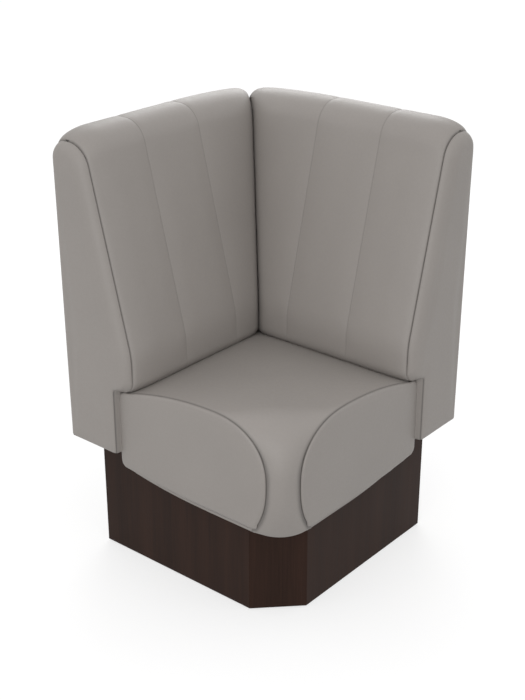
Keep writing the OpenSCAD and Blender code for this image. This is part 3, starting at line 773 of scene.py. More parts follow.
class Recipe(Nodes):
    """A material under way, with short calls for the patterns that it is mixed from."""

    def __init__(self, name: str) -> None:
        """Starts a material with one Principled shader.

        Args:
            name: The material's name.
        """
        self.material = bpy.data.materials.new(name)
        self.material.use_nodes = True
        super().__init__(self.material.node_tree)
        self.shader = self.tree.nodes["Principled BSDF"]

    def place(self, scale: tuple = (1, 1, 1)) -> Socket:
        """The place on the piece, in metres, stretched by a scale along each axis."""
        where = self.add("ShaderNodeTexCoord").outputs["Object"]
        return self.add("ShaderNodeMapping", {"Vector": where, "Scale": scale}).outputs[0]

    def noise(self, scale: float, detail: float = 2.0, stretch: tuple = (1, 1, 1)) -> Socket:
        """Noise of a scale in cells per metre."""
        inputs = {"Vector": self.place(stretch), "Scale": scale, "Detail": detail}
        return self.add("ShaderNodeTexNoise", inputs).outputs[0]

    def cells(self, scale: float, randomness: float = 1.0) -> Socket:
        """Distances from the middles of cells, of a scale in cells per metre."""
        inputs = {"Vector": self.place(), "Scale": scale, "Randomness": randomness}
        return self.add("ShaderNodeTexVoronoi", inputs).outputs["Distance"]

    def between(self, value: object, low: float, high: float) -> Socket:
        """Maps a value of 0 to 1 onto a range."""
        return self.add("ShaderNodeMapRange", {"Value": value, "To Min": low, "To Max": high}).outputs[0]

    def blend(self, share: object, a: object, b: object) -> Socket:
        """Mixes two colours."""
        return self.add("ShaderNodeMix", {0: share, 6: a, 7: b}, data_type="RGBA").outputs[2]

    def sum_of(self, broad: Socket, fine: Socket, share: float) -> Socket:
        """Adds two patterns, the broad one by a share and the fine one by the rest."""
        return self.math("ADD", self.math("MULTIPLY", broad, share), self.math("MULTIPLY", fine, 1 - share))

    def bump(self, height: object, distance: float, below: Socket | None = None) -> Socket:
        """Adds relief to the surface.

        Args:
            height: The pattern of the relief, from 0 to 1.
            distance: Its height, in metres.
            below: The relief that it lies over.

        Returns:
            The normals of the surface with that relief.
        """
        inputs = {"Height": height, "Distance": distance, "Strength": 1.0}
        if below is not None:
            inputs["Normal"] = below
        return self.add("ShaderNodeBump", inputs).outputs[0]

    def set(self, **values: object) -> bpy.types.Material:
        """Sets the shader's inputs.

        Args:
            **values: The values, by the inputs' names in lower case and joined by underscores.

        Returns:
            The material.
        """
        inputs = {socket.name.lower().replace(" ", "_"): socket for socket in self.shader.inputs}
        for key, value in values.items():
            self.plug(inputs[key], value)
        return self.material


def linear(red: float, green: float, blue: float) -> tuple:
    """A colour as seen, turned into the linear values that shaders take."""
    values = [c / 12.92 if c <= 0.04045 else ((c + 0.055) / 1.055) ** 2.4 for c in (red, green, blue)]
    return (*values, 1.0)


def shaded(colour: tuple, factor: float) -> tuple:
    """A linear colour made lighter or darker."""
    return (*[c * factor for c in colour[:3]], 1.0)


@dataclass(frozen=True)
class FauxLeather:
    """Satin faux leather with a fine pebble grain, and painted shade darkening its seams.

    Attributes:
        colour: The cover's colour.
        roughness: The middle of its roughness.
        clouds: Scale of the slow changes of tone.
        speckle: Scale of the fine changes of tone and gloss.
        grain: Scale of the pebbles.
        grain_depth: Height of the pebbles.
        waves: Scale of the cover's slight waves.
        wave_depth: Height of those waves.
        seam_shade_strength: How strongly the painted shade darkens the seams.
    """

    colour: tuple = linear(0.578, 0.556, 0.538)
    roughness: float = 0.5
    clouds: float = 5.0
    speckle: float = 160.0
    grain: float = 620.0
    grain_depth: float = 0.09 * MM
    waves: float = 18.0
    wave_depth: float = 0.6 * MM
    seam_shade_strength: float = 0.72

    def make(self) -> bpy.types.Material:
        """Makes the material.

        Returns:
            The material.
        """
        r = Recipe("faux_leather")
        tone = r.blend(r.noise(self.clouds, 3.0), shaded(self.colour, 0.93), shaded(self.colour, 1.07))
        speckle = r.noise(self.speckle)
        tone = r.blend(r.between(speckle, 0.0, 0.35), tone, shaded(self.colour, 0.86))
        # Painted shade: the seam attribute darkens the tone towards a sixth of the colour along the seams.
        seam_shade = r.add("ShaderNodeAttribute", attribute_name="seam").outputs["Fac"]
        tone = r.blend(r.math("MULTIPLY", seam_shade, self.seam_shade_strength), tone, shaded(self.colour, 0.16))
        relief = r.bump(r.cells(self.grain), self.grain_depth)
        relief = r.bump(r.noise(240.0, 3.0), 0.5 * self.grain_depth, relief)
        relief = r.bump(r.noise(self.waves), self.wave_depth, relief)
        gloss = r.between(speckle, self.roughness - 0.06, self.roughness + 0.06)
        return r.set(base_color=tone, roughness=gloss, normal=relief, sheen_weight=0.04, sheen_roughness=0.4)


@dataclass(frozen=True)
class StainedWood:
    """Dark stained veneer with upright grain under a satin lacquer."""

    dark: tuple = linear(0.145, 0.095, 0.075)
    light: tuple = linear(0.20, 0.135, 0.108)
    roughness: float = 0.5
    figure: float = 22.0
    grain: float = 260.0
    pore_depth: float = 0.12 * MM

    def make(self) -> bpy.types.Material:
        """Makes the material.

        Returns:
            The material.
        """
        r = Recipe("stained_wood")
        fine = r.noise(self.grain, 3.0, (1, 1, 0.03))
        figure = r.sum_of(r.noise(self.figure, 4.0, (1, 1, 0.06)), fine, 0.6)
        share = r.add("ShaderNodeMapRange", {"Value": figure, "From Min": 0.35, "From Max": 0.65}).outputs[0]
        gloss = r.between(fine, self.roughness - 0.08, self.roughness + 0.1)
        return r.set(base_color=r.blend(share, self.dark, self.light), roughness=gloss,
                     normal=r.bump(fine, self.pore_depth), specular_ior_level=0.1)


@dataclass(frozen=True)
class BareWood:
    """Planed timber or sanded plywood, with upright grain."""

    name: str
    dark: tuple
    light: tuple
    stretch: tuple = (1, 1, 0.08)
    figure: float = 30.0
    grain: float = 300.0
    pore_depth: float = 0.08 * MM

    def make(self) -> bpy.types.Material:
        """Makes the material.

        Returns:
            The material.
        """
        r = Recipe(self.name)
        fine = r.noise(self.grain, 2.0, self.stretch)
        share = r.sum_of(r.noise(self.figure, 4.0, self.stretch), fine, 0.7)
        return r.set(base_color=r.blend(share, self.dark, self.light), roughness=0.62,
                     normal=r.bump(fine, self.pore_depth))


@dataclass(frozen=True)
class DustCloth:
    """Black non-woven cloth with a pressed dot pattern."""

    colour: tuple = linear(0.13, 0.13, 0.135)
    pitch: float = 0.9 * MM
    dot_depth: float = 0.1 * MM
    fibres: float = 900.0
    fibre_depth: float = 0.08 * MM

    def make(self) -> bpy.types.Material:
        """Makes the material.

        Returns:
            The material.
        """
        r = Recipe("dust_cloth")
        fibres = r.noise(self.fibres, 3.0, (1, 1, 0.3))
        tone = r.blend(fibres, shaded(self.colour, 0.7), shaded(self.colour, 1.5))
        dots = r.cells(1 / self.pitch, 0.1)
        relief = r.bump(dots, self.dot_depth, r.bump(fibres, self.fibre_depth))
        return r.set(base_color=tone, roughness=0.9, normal=relief, sheen_weight=0.2, sheen_roughness=0.5)


@dataclass(frozen=True)
class ZincSteel:
    """Zinc plated steel with faint spangle."""

    colour: tuple = linear(0.72, 0.73, 0.75)
    spangle: float = 140.0
    depth: float = 0.03 * MM

    def make(self) -> bpy.types.Material:
        """Makes the material.

        Returns:
            The material.
        """
        r = Recipe("zinc_steel")
        spangle = r.noise(self.spangle, 3.0)
        return r.set(base_color=r.blend(spangle, shaded(self.colour, 0.85), self.colour), metallic=1.0,
                     roughness=r.between(spangle, 0.28, 0.45), normal=r.bump(spangle, self.depth))


@dataclass(frozen=True)
class OpenFoam:
    """Cut polyurethane foam."""

    colour: tuple = linear(0.93, 0.89, 0.70)
    cells: float = 700.0
    depth: float = 0.2 * MM

    def make(self) -> bpy.types.Material:
        """Makes the material.

        Returns:
            The material.
        """
        r = Recipe("open_foam")
        cells = r.noise(self.cells)
        return r.set(base_color=r.blend(cells, shaded(self.colour, 0.8), self.colour), roughness=0.95,
                     normal=r.bump(cells, self.depth))


def make_finishes() -> Finishes:
    """Makes the materials, one for each slot of the record.

    Returns:
        The materials by slot.
    """
    ply = BareWood("ply", linear(0.70, 0.56, 0.38), linear(0.86, 0.73, 0.53))
    timber = BareWood("timber", linear(0.76, 0.62, 0.42), linear(0.90, 0.79, 0.60))
    recipes = {Slot.COVER: FauxLeather(), Slot.CLOTH: DustCloth(), Slot.FOAM: OpenFoam(),
               Slot.PLINTH: StainedWood(), Slot.PLY: ply, Slot.TIMBER: timber, Slot.STEEL: ZincSteel()}
    return {slot: recipe.make() for slot, recipe in recipes.items()}


# Backs


@dataclass
class UnitSizes:
    """The size that the soft sub-assemblies share."""

    half: float = CAD_BOX[1].x

    @property
    def width(self) -> float:
        """Length of the unit's wall side."""
        return 2 * self.half

    def place(self, points: np.ndarray) -> np.ndarray:
        """Turns depths, distances from the end face and heights into points of the frame."""
        return points - np.array([self.half, self.half, 0])


@dataclass
class BackSizes(UnitSizes):
    """Sizes of a back, as depths from the wall, distances from the end face and heights.

    The first group is read from the frame. The others are the padded face's section, the padded
    end, the mitre, and how firmly and how far the cover is held and drawn in.
    """

    base_z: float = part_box("left_cover_end")[0].z
    staple_z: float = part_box("left_rear_board")[1].z
    frame_top_z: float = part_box("left_top_rail")[1].z
    board_x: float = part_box("left_lower_board")[1].x
    rib_rear_x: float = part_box("left_rear_board")[1].x
    end_seam_y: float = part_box("left_cover_end")[1].y
    outer_seam_y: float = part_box("left_cover_outer")[1].y
    crown_z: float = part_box("left_cover_middle")[1].z

    cover_t: float = 1.5 * MM
    start_in: float = 0.5 * MM
    knee_d: float = 200 * MM
    knee_z: float = 546 * MM
    knee_r: float = 200 * MM
    slope: float = 13.9
    top_r: float = 60 * MM
    rear_r: float = 30 * MM
    rear_r_share: float = 0.55
    under_r: float = 30 * MM
    under_z: float = 456 * MM
    top_crown: float = 22 * MM
    front_crown: float = 13 * MM
    crown_run: float = 69 * MM
    seam_inner: float = 354 * MM
    soft_gap: float = 0.3 * MM
    board_gap: float = 0.1 * MM
    station_pitch: float = 6.5 * MM

    end_face_in: float = 1 * MM
    end_roundness: float = 0.55
    end_spare: float = 12 * MM
    end_lower_in: float = 2.5 * MM
    end_lower_run: float = 8 * MM
    end_lower_round: float = 3 * MM
    end_under_in: float = 10 * MM
    edge_in: float = 30 * MM
    edge_rear_in: float = 12 * MM
    low_rear_in: float = 5 * MM
    low_rear_from: float = 530 * MM
    low_rear_to: float = 434 * MM
    welt_in: float = 3.5 * MM
    welt_reach: float = 25 * MM
    welt_fade: float = 8 * MM

    mitre_top_drop: float = 41 * MM
    mitre_front_drop: float = 16 * MM
    mitre_slow: float = 0.35
    mitre_power: float = 14.0
    mitre_gap: float = 0.2 * MM

    face_swell: float = 1.4 * MM
    seam_hold: float = 11 * MM
    wall_hold: float = 25 * MM
    under_hold: float = 20 * MM
    under_fade: float = 60 * MM
    wall_fade: float = 30 * MM
    least_fade: float = 0.35

    @property
    def board_d(self) -> float:
        """Depth of the front of the lower board."""
        return self.board_x + self.half

    @property
    def lower_d(self) -> float:
        """Depth of the lower front face."""
        return self.board_d + self.cover_t

    @property
    def end_seam(self) -> float:
        """Distance of the end seam from the end face."""
        return self.end_seam_y + self.half

    @property
    def seam_outer(self) -> float:
        """Distance of the outer face seam from the end face."""
        return self.outer_seam_y + self.half


class Back:
    """A sloping padded back: a face pad with two sewn channels, and a padded end."""

    FACE_PARTS = ("foam", "cover_outer", "cover_middle", "cover_inner")
    END_PARTS = ("end_foam", "cover_end")
    FACE_STEPS = (18, 5, 6, 70, 9, 7)
    INNER_STEPS = (3, 3, 3, 3)
    END_STEPS = (24, 24, 4, 6, 70, 9)
    END_RINGS = 15
    MIDDLE_STATIONS = 12
    MITRE_STATIONS = (0, 0.6, 1.5, 3, 5, 8, 11, 14.5, 18, 22, 27, 33)
    WELT_LOOPS = (-2 * MM, -MM, 0, MM, 2 * MM)

    def __init__(self, sizes: BackSizes) -> None:
        """Holds the sizes."""
        self.s = sizes

    def face_parts(self, front_in: float, top_in: float, rear_in: float = 0.0, shrink: float = 0.0,
                   raised: float = 0.0) -> list:
        """Works out the rounded stretches of the padded face's section.

        Args:
            front_in: How far the front is drawn back from its fullest shape.
            top_in: How far the top is lowered.
            rear_in: How far the rear edge stands off the wall.
            shrink: How much the edges are tightened.
            raised: How far the lower edge is raised.

        Returns:
            The lower edge, knee, top edge and rear edge, as arrays of (depth, height).
        """
        s, off = self.s, self.s.start_in
        lean = math.radians(s.slope)
        knee = s.knee_d + s.front_crown - front_in - off
        top = s.crown_z - top_in - off
        top_r = s.top_r - shrink - off
        rear_r = s.rear_r - s.rear_r_share * shrink - off
        low_r = max(s.cover_t, min(s.under_r - off, knee - s.lower_d))
        lead = s.knee_r * math.tan(lean / 2)
        low = arc((knee - low_r, s.under_z + raised + off + low_r), low_r, -90, 0, 10)
        bend = arc((knee - s.knee_r, s.knee_z - lead), s.knee_r, 0, s.slope, 8)
        centre_d = knee - (top - top_r - s.knee_z) * math.tan(lean) - top_r / math.cos(lean)
        crest = arc((centre_d, top - top_r), top_r, s.slope, 90, 16)
        rear = arc((rear_in + off + rear_r, top - rear_r), rear_r, 90, 180, 9)
        return [low, bend, crest, rear]

    def face_line(self, loss: float, front: float, top: float) -> np.ndarray:
        """Works out the padded face's whole section, from the skirt to the staples behind the top.

        Args:
            loss: How much of its fullness the section has lost, as a share.
            front: How far the front is drawn back at a share of 1.
            top: How far the top is lowered at a share of 1.

        Returns:
            The section's points, as (depth, height).
        """
        s, off = self.s, self.s.start_in
        skirt = [(s.lower_d, s.base_z)], [(s.lower_d, s.under_z + off)]
        rounds = self.face_parts(front * loss, top * loss)
        return joined([*skirt, *rounds, [(off, s.staple_z)]], self.FACE_STEPS)

    def inner_line(self) -> np.ndarray:
        """Works out the pad's inner side, along the boards and over the frame.

        Returns:
            The line's points, as (depth, height).
        """
        s = self.s
        lean = math.tan(math.radians(s.slope))
        front = s.board_d - (s.frame_top_z - s.knee_z) * lean + s.soft_gap
        rear = s.rib_rear_x + s.half - s.soft_gap
        top = s.frame_top_z + s.soft_gap
        board = s.board_d + s.board_gap
        corners = [(rear, s.staple_z), (rear, top), (front, top), (board, s.knee_z), (board, s.base_z)]
        return joined([[corner] for corner in corners], self.INNER_STEPS)

    def stations(self) -> list:
        """Works out the sections' places, which lie closer together beside the seams.

        Returns:
            Pairs of numbers: a distance from the end face and 0 up to the inner seam, and then 0 and
            a share of the way from there to the mitre.
        """
        s = self.s
        groove = np.array(GROOVE)
        marks = [s.end_seam + s.soft_gap / 2 + groove]
        for seam in (s.seam_outer, s.seam_inner):
            marks += [seam - groove, seam + groove]
        marks = np.concatenate(marks)
        marks = np.unique(np.round(marks[marks <= s.seam_inner + 1e-9], 7))
        filled = [marks[0]]
        for mark in marks[1:]:
            start = filled[-1]
            steps = max(1, math.ceil((mark - start) / s.station_pitch))
            filled += [start + (mark - start) * k / steps for k in range(1, steps + 1)]
        run = s.width - s.knee_d - s.seam_inner
        near = groove[1:] / run
        far = np.array(self.MITRE_STATIONS) * MM / run
        middle = np.linspace(near[-1], 1 - far[-1], self.MIDDLE_STATIONS)[1:-1]
        shares = np.concatenate([near, middle, 1 - far[::-1]])
        return [(v, 0.0) for v in filled] + [(0.0, share) for share in shares]

    def ring(self, distance: float, share: float) -> np.ndarray:
        """Works out a closed ring round the face pad, drawn in near the end seam and the mitre.

        Args:
            distance: The station's distance from the end face.
            share: The station's share of the way from the inner seam to the mitre.

        Returns:
            The ring's points.
        """
        s = self.s
        if share > 0:
            loss = s.mitre_slow * share**2 + (1 - s.mitre_slow) * share**s.mitre_power
            outer = self.face_line(loss, s.mitre_front_drop, s.mitre_top_drop)
        else:
            x = min(1.0, (distance - s.end_seam) / s.crown_run)
            outer = self.face_line(1 - math.sqrt(1 - (1 - x) ** 2), s.front_crown, s.top_crown)
        line = np.vstack([outer, self.inner_line()])
        along = np.full(len(line), distance)
        if share > 0:
            along = s.seam_inner + share * (s.width - line[:, 0] - s.mitre_gap - s.seam_inner)
        return s.place(np.column_stack([line[:, 0], along, line[:, 1]]))

    def build_face(self, name: str) -> Piece:
        """Builds the face pad: swollen between its seams, then drawn in along them.

        Args:
            name: The piece's name.

        Returns:
            The pad.
        """
        s = self.s
        rings = np.array([self.ring(*station) for station in self.stations()])
        pad = tube(name, rings)
        count, size = rings.shape[:2]
        ring, index = np.divmod(np.arange(count * size), size)
        outer = size - len(self.inner_line())
        skin = (index < outer).astype(float)
        points = points_of(pad)
        held = 1 - skin
        for seam in self.seams():
            held = np.maximum(held, np.exp(-(seam.distance(points) / s.seam_hold) ** 2))
        wall = np.clip((points[:, 0] + s.half) / s.wall_hold, 0, 1)
        low = np.clip((points[:, 2] - s.under_z) / s.under_hold, 0, 1)
        held = np.maximum(held, 1 - np.minimum(wall, low))
        held[(index == 0) | (index >= outer - 1)] = 1
        Inflation(s.face_swell).run(pad, held)
        rim = (skin < 0.5) | (index == 0) | (index == outer - 1) | (ring == 0) | (ring == count - 1)
        finish_pad(pad, rim, skin, self.seams(), self.fade)
        return pad

    def fade(self, points: np.ndarray) -> np.ndarray:
        """Works out how strongly seams show: fully on the face and top, less on the skirt and rear.

        Args:
            points: The points to look at.

        Returns:
            A share for each point.
        """
        s = self.s
        rise = np.clip((points[:, 2] - s.under_z) / s.under_fade, 0, 1)
        wall = np.clip((points[:, 0] + s.half) / s.wall_fade, 0, 1)
        return np.minimum(rise, s.least_fade + (1 - s.least_fade) * wall)

    def end_joint(self) -> Seam:
        """The seam between the face pad and the padded end."""
        # show sets how dark the painted shade along this seam is.
        return Seam((0, self.s.end_seam_y, 0), ACROSS_Y, depth=0.9 * MM, width=0.75 * MM,
                    soft_depth=0.6 * MM, show=0.62)

    def seams(self) -> list:
        """Lists the face pad's end seam, its two channels and its rolled edge at the mitre.

        Returns:
            The seams.
        """
        s = self.s
        # show sets how dark the painted shade along each channel is.
        channels = [Seam((0, v - s.half, 0), ACROSS_Y, depth=0.6 * MM, width=0.9 * MM, soft_depth=0.8 * MM,
                         soft_width=8 * MM, show=0.3) for v in (s.seam_outer, s.seam_inner)]
        return [self.end_joint(), *channels, RolledEdge((0, 0, 0), (1, 1, 0))]

    def end_ring(self, share: float, out: float) -> np.ndarray:
        """Works out a ring of the padded end.

        Args:
            share: How much of its rounding the ring is drawn in by.
            out: How far it lies outside the end seam.

        Returns:
            The ring's points.
        """
        s, off = self.s, self.s.start_in
        edge = s.edge_in * share
        rear_in = s.edge_rear_in * share
        past = max(out, 0.0)
        raised = s.end_under_in * past / s.end_seam
        drawn = (s.front_crown + edge, s.top_crown + edge, rear_in, edge, raised)
        low, bend, crest, rear = self.face_parts(*drawn)
        front = s.lower_d - off - s.end_lower_in * min(1.0, past / s.end_lower_run)
        front -= s.end_lower_round * share
        base = s.base_z + off
        corners = [(rear_in + off, base)], [(front, base)], [(front, s.under_z + raised + off)]
        line = joined([*corners, np.maximum(low, [front, 0]), bend, crest, rear], self.END_STEPS)
        fall = np.clip((s.low_rear_from - line[:, 1]) / (s.low_rear_from - s.low_rear_to), 0, 1)
        line[:, 0] += s.low_rear_in * fall * np.clip(1 - line[:, 0] / (0.5 * front), 0, 1)
        return s.place(np.column_stack([line[:, 0], np.full(len(line), s.end_seam - out), line[:, 1]]))

    def build_end(self, name: str) -> Piece:
        """Builds the padded end, cut flat at its seam, with a sewn edge down its lower front.

        Args:
            name: The piece's name.

        Returns:
            The pad.
        """
        s = self.s
        swell = s.end_seam - s.end_face_in
        rings = [self.end_ring(0, -s.end_spare), self.end_ring(0, -0.5 * s.end_spare)]
        for turn in np.linspace(0, 1, self.END_RINGS):
            rings.append(self.end_ring(turn, swell * (1 - (1 - turn) ** 2) ** s.end_roundness))
        pad = tube(name, np.array(rings))
        welt_loops = tuple(s.end_seam - s.welt_in + step for step in self.WELT_LOOPS)
        shaping = EndShaping(gap=s.soft_gap, hold=8 * MM, reach=5 * MM)
        shaping.shape(pad, self.end_joint(), self.end_ring(0, 0), welt_loops)
        points = points_of(pad)
        skin = np.ones(len(points))
        carve(pad, [self.end_joint()], skin, self.fade(points))
        lower = np.clip((s.under_z + s.end_under_in - points[:, 2]) / s.welt_fade, 0, 1)
        lower *= np.clip((points[:, 0] + s.half - s.lower_d + s.welt_reach) / s.welt_fade, 0, 1)
        # The sewn edge is a groove with a painted shade line at full strength.
        carve(pad, [Seam((0, s.welt_in - s.half, 0), ACROSS_Y, depth=0.6 * MM, width=0.9 * MM)], skin, lower)
        smooth(pad)
        return pad

    def build(self, finish: Finishes) -> None:
        """Builds the left back's pads and mirrors them for the right back.

        Args:
            finish: The materials by slot.
        """
        face = self.build_face("left_face_pad")
        end = self.build_end("left_end_pad")
        faces, ends = with_mirror(face, "right_face_pad"), with_mirror(end, "right_end_pad")
        for side in Side:
            for pad, parts in ((faces[side], self.FACE_PARTS), (ends[side], self.END_PARTS)):
                dress_pad(pad, finish, tuple(f"{side.value}_{part}" for part in parts))


# Seat


@dataclass
class SeatSizes(UnitSizes):
    """Sizes of the seat, as depths from the wall, distances from the end face and heights.

    The first group is read from the frame. The others are the seat's top and front, its padded
    ends, and how firmly the cover is held.
    """

    bottom_z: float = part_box("seat_base")[1].z
    foam_z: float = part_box("seat_deck")[1].z
    seam_y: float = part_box("seat_cover_left")[1].y
    rear_x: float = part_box("seat_cover_left")[0].x
    front_x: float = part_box("seat_cover_left")[1].x
    crown_z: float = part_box("seat_cover_left")[1].z

    crown_d: float = 430 * MM
    rear_fall: float = 45 * MM
    rear_dome: float = 0.4
    dome: float = 6 * MM
    corner_swell: float = 14 * MM
    chamfer: float = 90 * MM
    front_z: float = 370 * MM
    round_power: float = 0.87
    tuck: float = 32 * MM
    tuck_power: float = 2.5
    lip_z: float = 236.5 * MM
    lip: float = 6 * MM
    lip_rise: float = 8.5 * MM
    lip_from: float = 290 * MM
    blend: float = 12 * MM
    gap: float = 0.3 * MM
    cushion_in: float = 1.2 * MM
    first_share: float = 0.975
    least_run: float = 60 * MM

    end_rear_d: float = 155 * MM
    end_top_r: float = 22 * MM
    end_low_z: float = 253 * MM
    end_low_rise: float = 14.5 * MM
    end_low_r: float = 12 * MM
    heel_r: float = 18 * MM
    rise_d: float = 400 * MM
    rise_run: float = 250 * MM
    end_in: float = 0.8 * MM
    end_swell: float = 9 * MM
    end_roundness: float = 0.14
    end_spare: float = 12 * MM
    rim_in: float = 0.5 * MM

    cushion_swell: float = 2.5 * MM
    seam_hold: float = 10 * MM
    edge_hold: float = 30 * MM

    @property
    def inset(self) -> float:
        """Distance of the end seams from the end faces."""
        return self.seam_y + self.half

    @property
    def rear_d(self) -> float:
        """Depth of the seat's rear from the wall."""
        return self.rear_x + self.half

    @property
    def front_d(self) -> float:
        """Depth of the front of the seat ends from the wall."""
        return self.front_x + self.half


class Seat:
    """A domed cushion between two padded D-shaped ends."""

    COLUMNS = 96
    ROWS = 96
    REAR_ROWS = 44
    END_RINGS = 16
    OUTLINE_STEPS = 150

    def __init__(self, sizes: SeatSizes) -> None:
        """Holds the sizes."""
        self.s = sizes

    def seam_line(self, off: float, bottom: float) -> tuple:
        """Works out the seam line of a seat end, and the swell between the ends along it.

        Args:
            off: How far the line is moved inwards.
            bottom: Height of its lower end.

        Returns:
            (depth, height) points, the swell at each, and the swell's direction in degrees.
        """
        s = self.s
        crown, front = s.crown_z - off, s.front_d - off
        share = np.linspace(1, 0, 120)[:-1]
        rear = np.stack([s.crown_d - (s.crown_d - s.rear_d) * share, crown - s.rear_fall * share**2], 1)
        a = np.radians(np.linspace(90, 0, 120))
        nose = np.stack([s.crown_d + (front - s.crown_d) * np.cos(a) ** s.round_power,
                         s.front_z + (crown - s.front_z) * np.sin(a) ** s.round_power], 1)
        down = np.linspace(0, 1, 60)[1:]
        under = np.stack([front - s.tuck * down**s.tuck_power, s.front_z - (s.front_z - bottom) * down], 1)
        swell = [s.dome * (1 - (1 - s.rear_dome) * share**2),
                 s.dome * np.sin(a) + s.corner_swell * np.cos(a), np.full(len(under), s.corner_swell)]
        turn = [np.full(len(rear), 90.0), np.degrees(a), np.zeros(len(under))]
        return np.vstack([rear, nose, under]), np.concatenate(swell), np.concatenate(turn)

    @staticmethod
    def resample(line: np.ndarray, values: list, count: int) -> list:
        """Spaces a line's points evenly.

        Args:
            line: The line's points, as (depth, height).
            values: Lists of values that go with the points.
            count: How many points the line gets.

        Returns:
            The depths, the heights and each list of values, at the new points.
        """
        length = np.concatenate([[0], np.cumsum(np.linalg.norm(np.diff(line, axis=0), axis=1))])
        at = np.linspace(0, length[-1], count)
        return [np.interp(at, length, column) for column in (line[:, 0], line[:, 1], *values)]

    def top_z(self, x: np.ndarray, y: np.ndarray) -> np.ndarray:
        """Works out the height of the seat top behind its crown.

        Args:
            x: Distances from the left wall.
            y: Distances from the left end face.

        Returns:
            The heights.
        """
        s = self.s
        near = -s.blend * np.log(np.exp(-x / s.blend) + np.exp(-(s.width - y) / s.blend))
        share = (s.crown_d - np.minimum(near, s.crown_d)) / (s.crown_d - s.rear_d)
        return s.crown_z - s.cushion_in - s.rear_fall * share**2

    def shares(self, run: float) -> np.ndarray:
        """Works out places across the seat, closer together beside the two seams.

        Args:
            run: The distance across the seat.

        Returns:
            The places, as shares of that distance.
        """
        near = np.array(GROOVE) / run
        middle = np.linspace(near[-1], 1 - near[-1], self.COLUMNS - 2 * len(near) + 2)[1:-1]
        return np.concatenate([near, middle, 1 - near[::-1]])

    def rows(self) -> list:
        """Works out the rows of points across the cushion.

        Returns:
            The rows, from the wall corner over the top and down to the front's bottom edge.
        """
        s = self.s
        side = s.inset + s.gap / 2
        reach = s.width - s.rear_d - side
        made = []
        for share in np.linspace(s.first_share, 0, self.REAR_ROWS)[:-1]:
            run = reach * (1 - share)
            t = self.shares(max(run, s.least_run))
            x = s.rear_d + run * t
            y = side + reach * share + run * t
            z = self.top_z(x, y) + s.rear_dome * s.dome * 4 * t * (1 - t) * (1 - share)
            made.append(np.stack([x, y, z], 1))
        line, swell, turn = self.seam_line(s.cushion_in, s.lip_z)
        for d, z, w, a in zip(*self.resample(line, [swell, np.radians(turn)], self.ROWS)):
            run = s.width - side - d
            t = self.shares(run)
            out = w * 4 * t * (1 - t)
            forward = out * math.cos(a) * math.cos(math.pi / 4)
            x, y = d + run * t + forward, side + run * t - forward
            rise = max(0.0, (s.lip_from - z) / (s.lip_from - s.lip_z)) * s.lip_rise * (1 - 2 * t) ** 2
            top = self.top_z(x, y) + out if d < s.crown_d else z + out * math.sin(a) + rise
            made.append(np.stack([x, y, top], 1))
        inwards = np.array([-s.lip, s.lip]) / math.sqrt(2)
        raised = np.maximum(made[-1][:, 2:] + MM, s.bottom_z + s.gap)
        made.append(np.hstack([made[-1][:, :2] + inwards, raised]))
        return made

    def build_cushion(self, name: str) -> Piece:
        """Builds the cushion that runs over the front corner.

        Args:
            name: The piece's name.

        Returns:
            The cushion.
        """
        s = self.s
        cut = s.width - s.inset - s.chamfer
        pad_d = s.inset + s.gap
        rings = []
        for row in self.rows():
            a, b = row[0], row[-1]
            if a[2] > s.foam_z + s.gap:
                under = [(b[0], b[1], s.foam_z + s.gap), (a[0], a[1], s.foam_z + s.gap)]
            else:
                z = max(a[2], s.bottom_z + s.gap)
                under = [(s.width - pad_d, s.width - cut, z), (cut, pad_d, z)]
            rings.append(np.vstack([row, under]))
        pad = tube(name, s.place(np.array(rings)))
        size = len(rings[0])
        ring, index = np.divmod(np.arange(len(pad.data.vertices)), size)
        last = size - 3
        skin = (index <= last).astype(float)
        points = points_of(pad)
        held = 1 - skin
        for seam in self.seams():
            held = np.maximum(held, np.exp(-(seam.distance(points) / s.seam_hold) ** 2))
        low = np.clip((points[:, 2] - s.bottom_z) / s.edge_hold, 0, 1)
        rear = np.clip((np.minimum(points[:, 0], -points[:, 1]) - s.rear_x) / s.edge_hold, 0, 1)
        held = np.maximum(held, 1 - np.minimum(low, rear))
        Inflation(s.cushion_swell).run(pad, held)
        rim = (skin < 0.5) | (index == 0) | (index == last) | (ring == 0) | (ring == len(rings) - 1)
        finish_pad(pad, rim, skin, self.seams())
        return pad

    def seams(self) -> list:
        """Lists the two seams between the cushion and its ends.

        Returns:
            The left seam and the right one.
        """
        y = self.s.seam_y
        # show and spread set the painted shade along these seams, wider where the cover faces up.
        sizes = {"depth": 1.1 * MM, "width": 0.9 * MM, "soft_depth": 1.0 * MM, "show": 0.7, "spread": 1.2}
        return [Seam((0, y, 0), ACROSS_Y, **sizes), Seam((-y, 0, 0), ACROSS_X, **sizes)]

    def rise(self, depth: np.ndarray) -> np.ndarray:
        """How far the lower edge of a seat end has risen at a depth, as a share."""
        return np.clip((self.s.rise_d - depth) / self.s.rise_run, 0, 1) ** 2

    def low_z(self, depth: np.ndarray) -> np.ndarray:
        """Height of the lower edge of a seat end, which rises towards the back."""
        return self.s.end_low_z + self.s.end_low_rise * self.rise(depth)

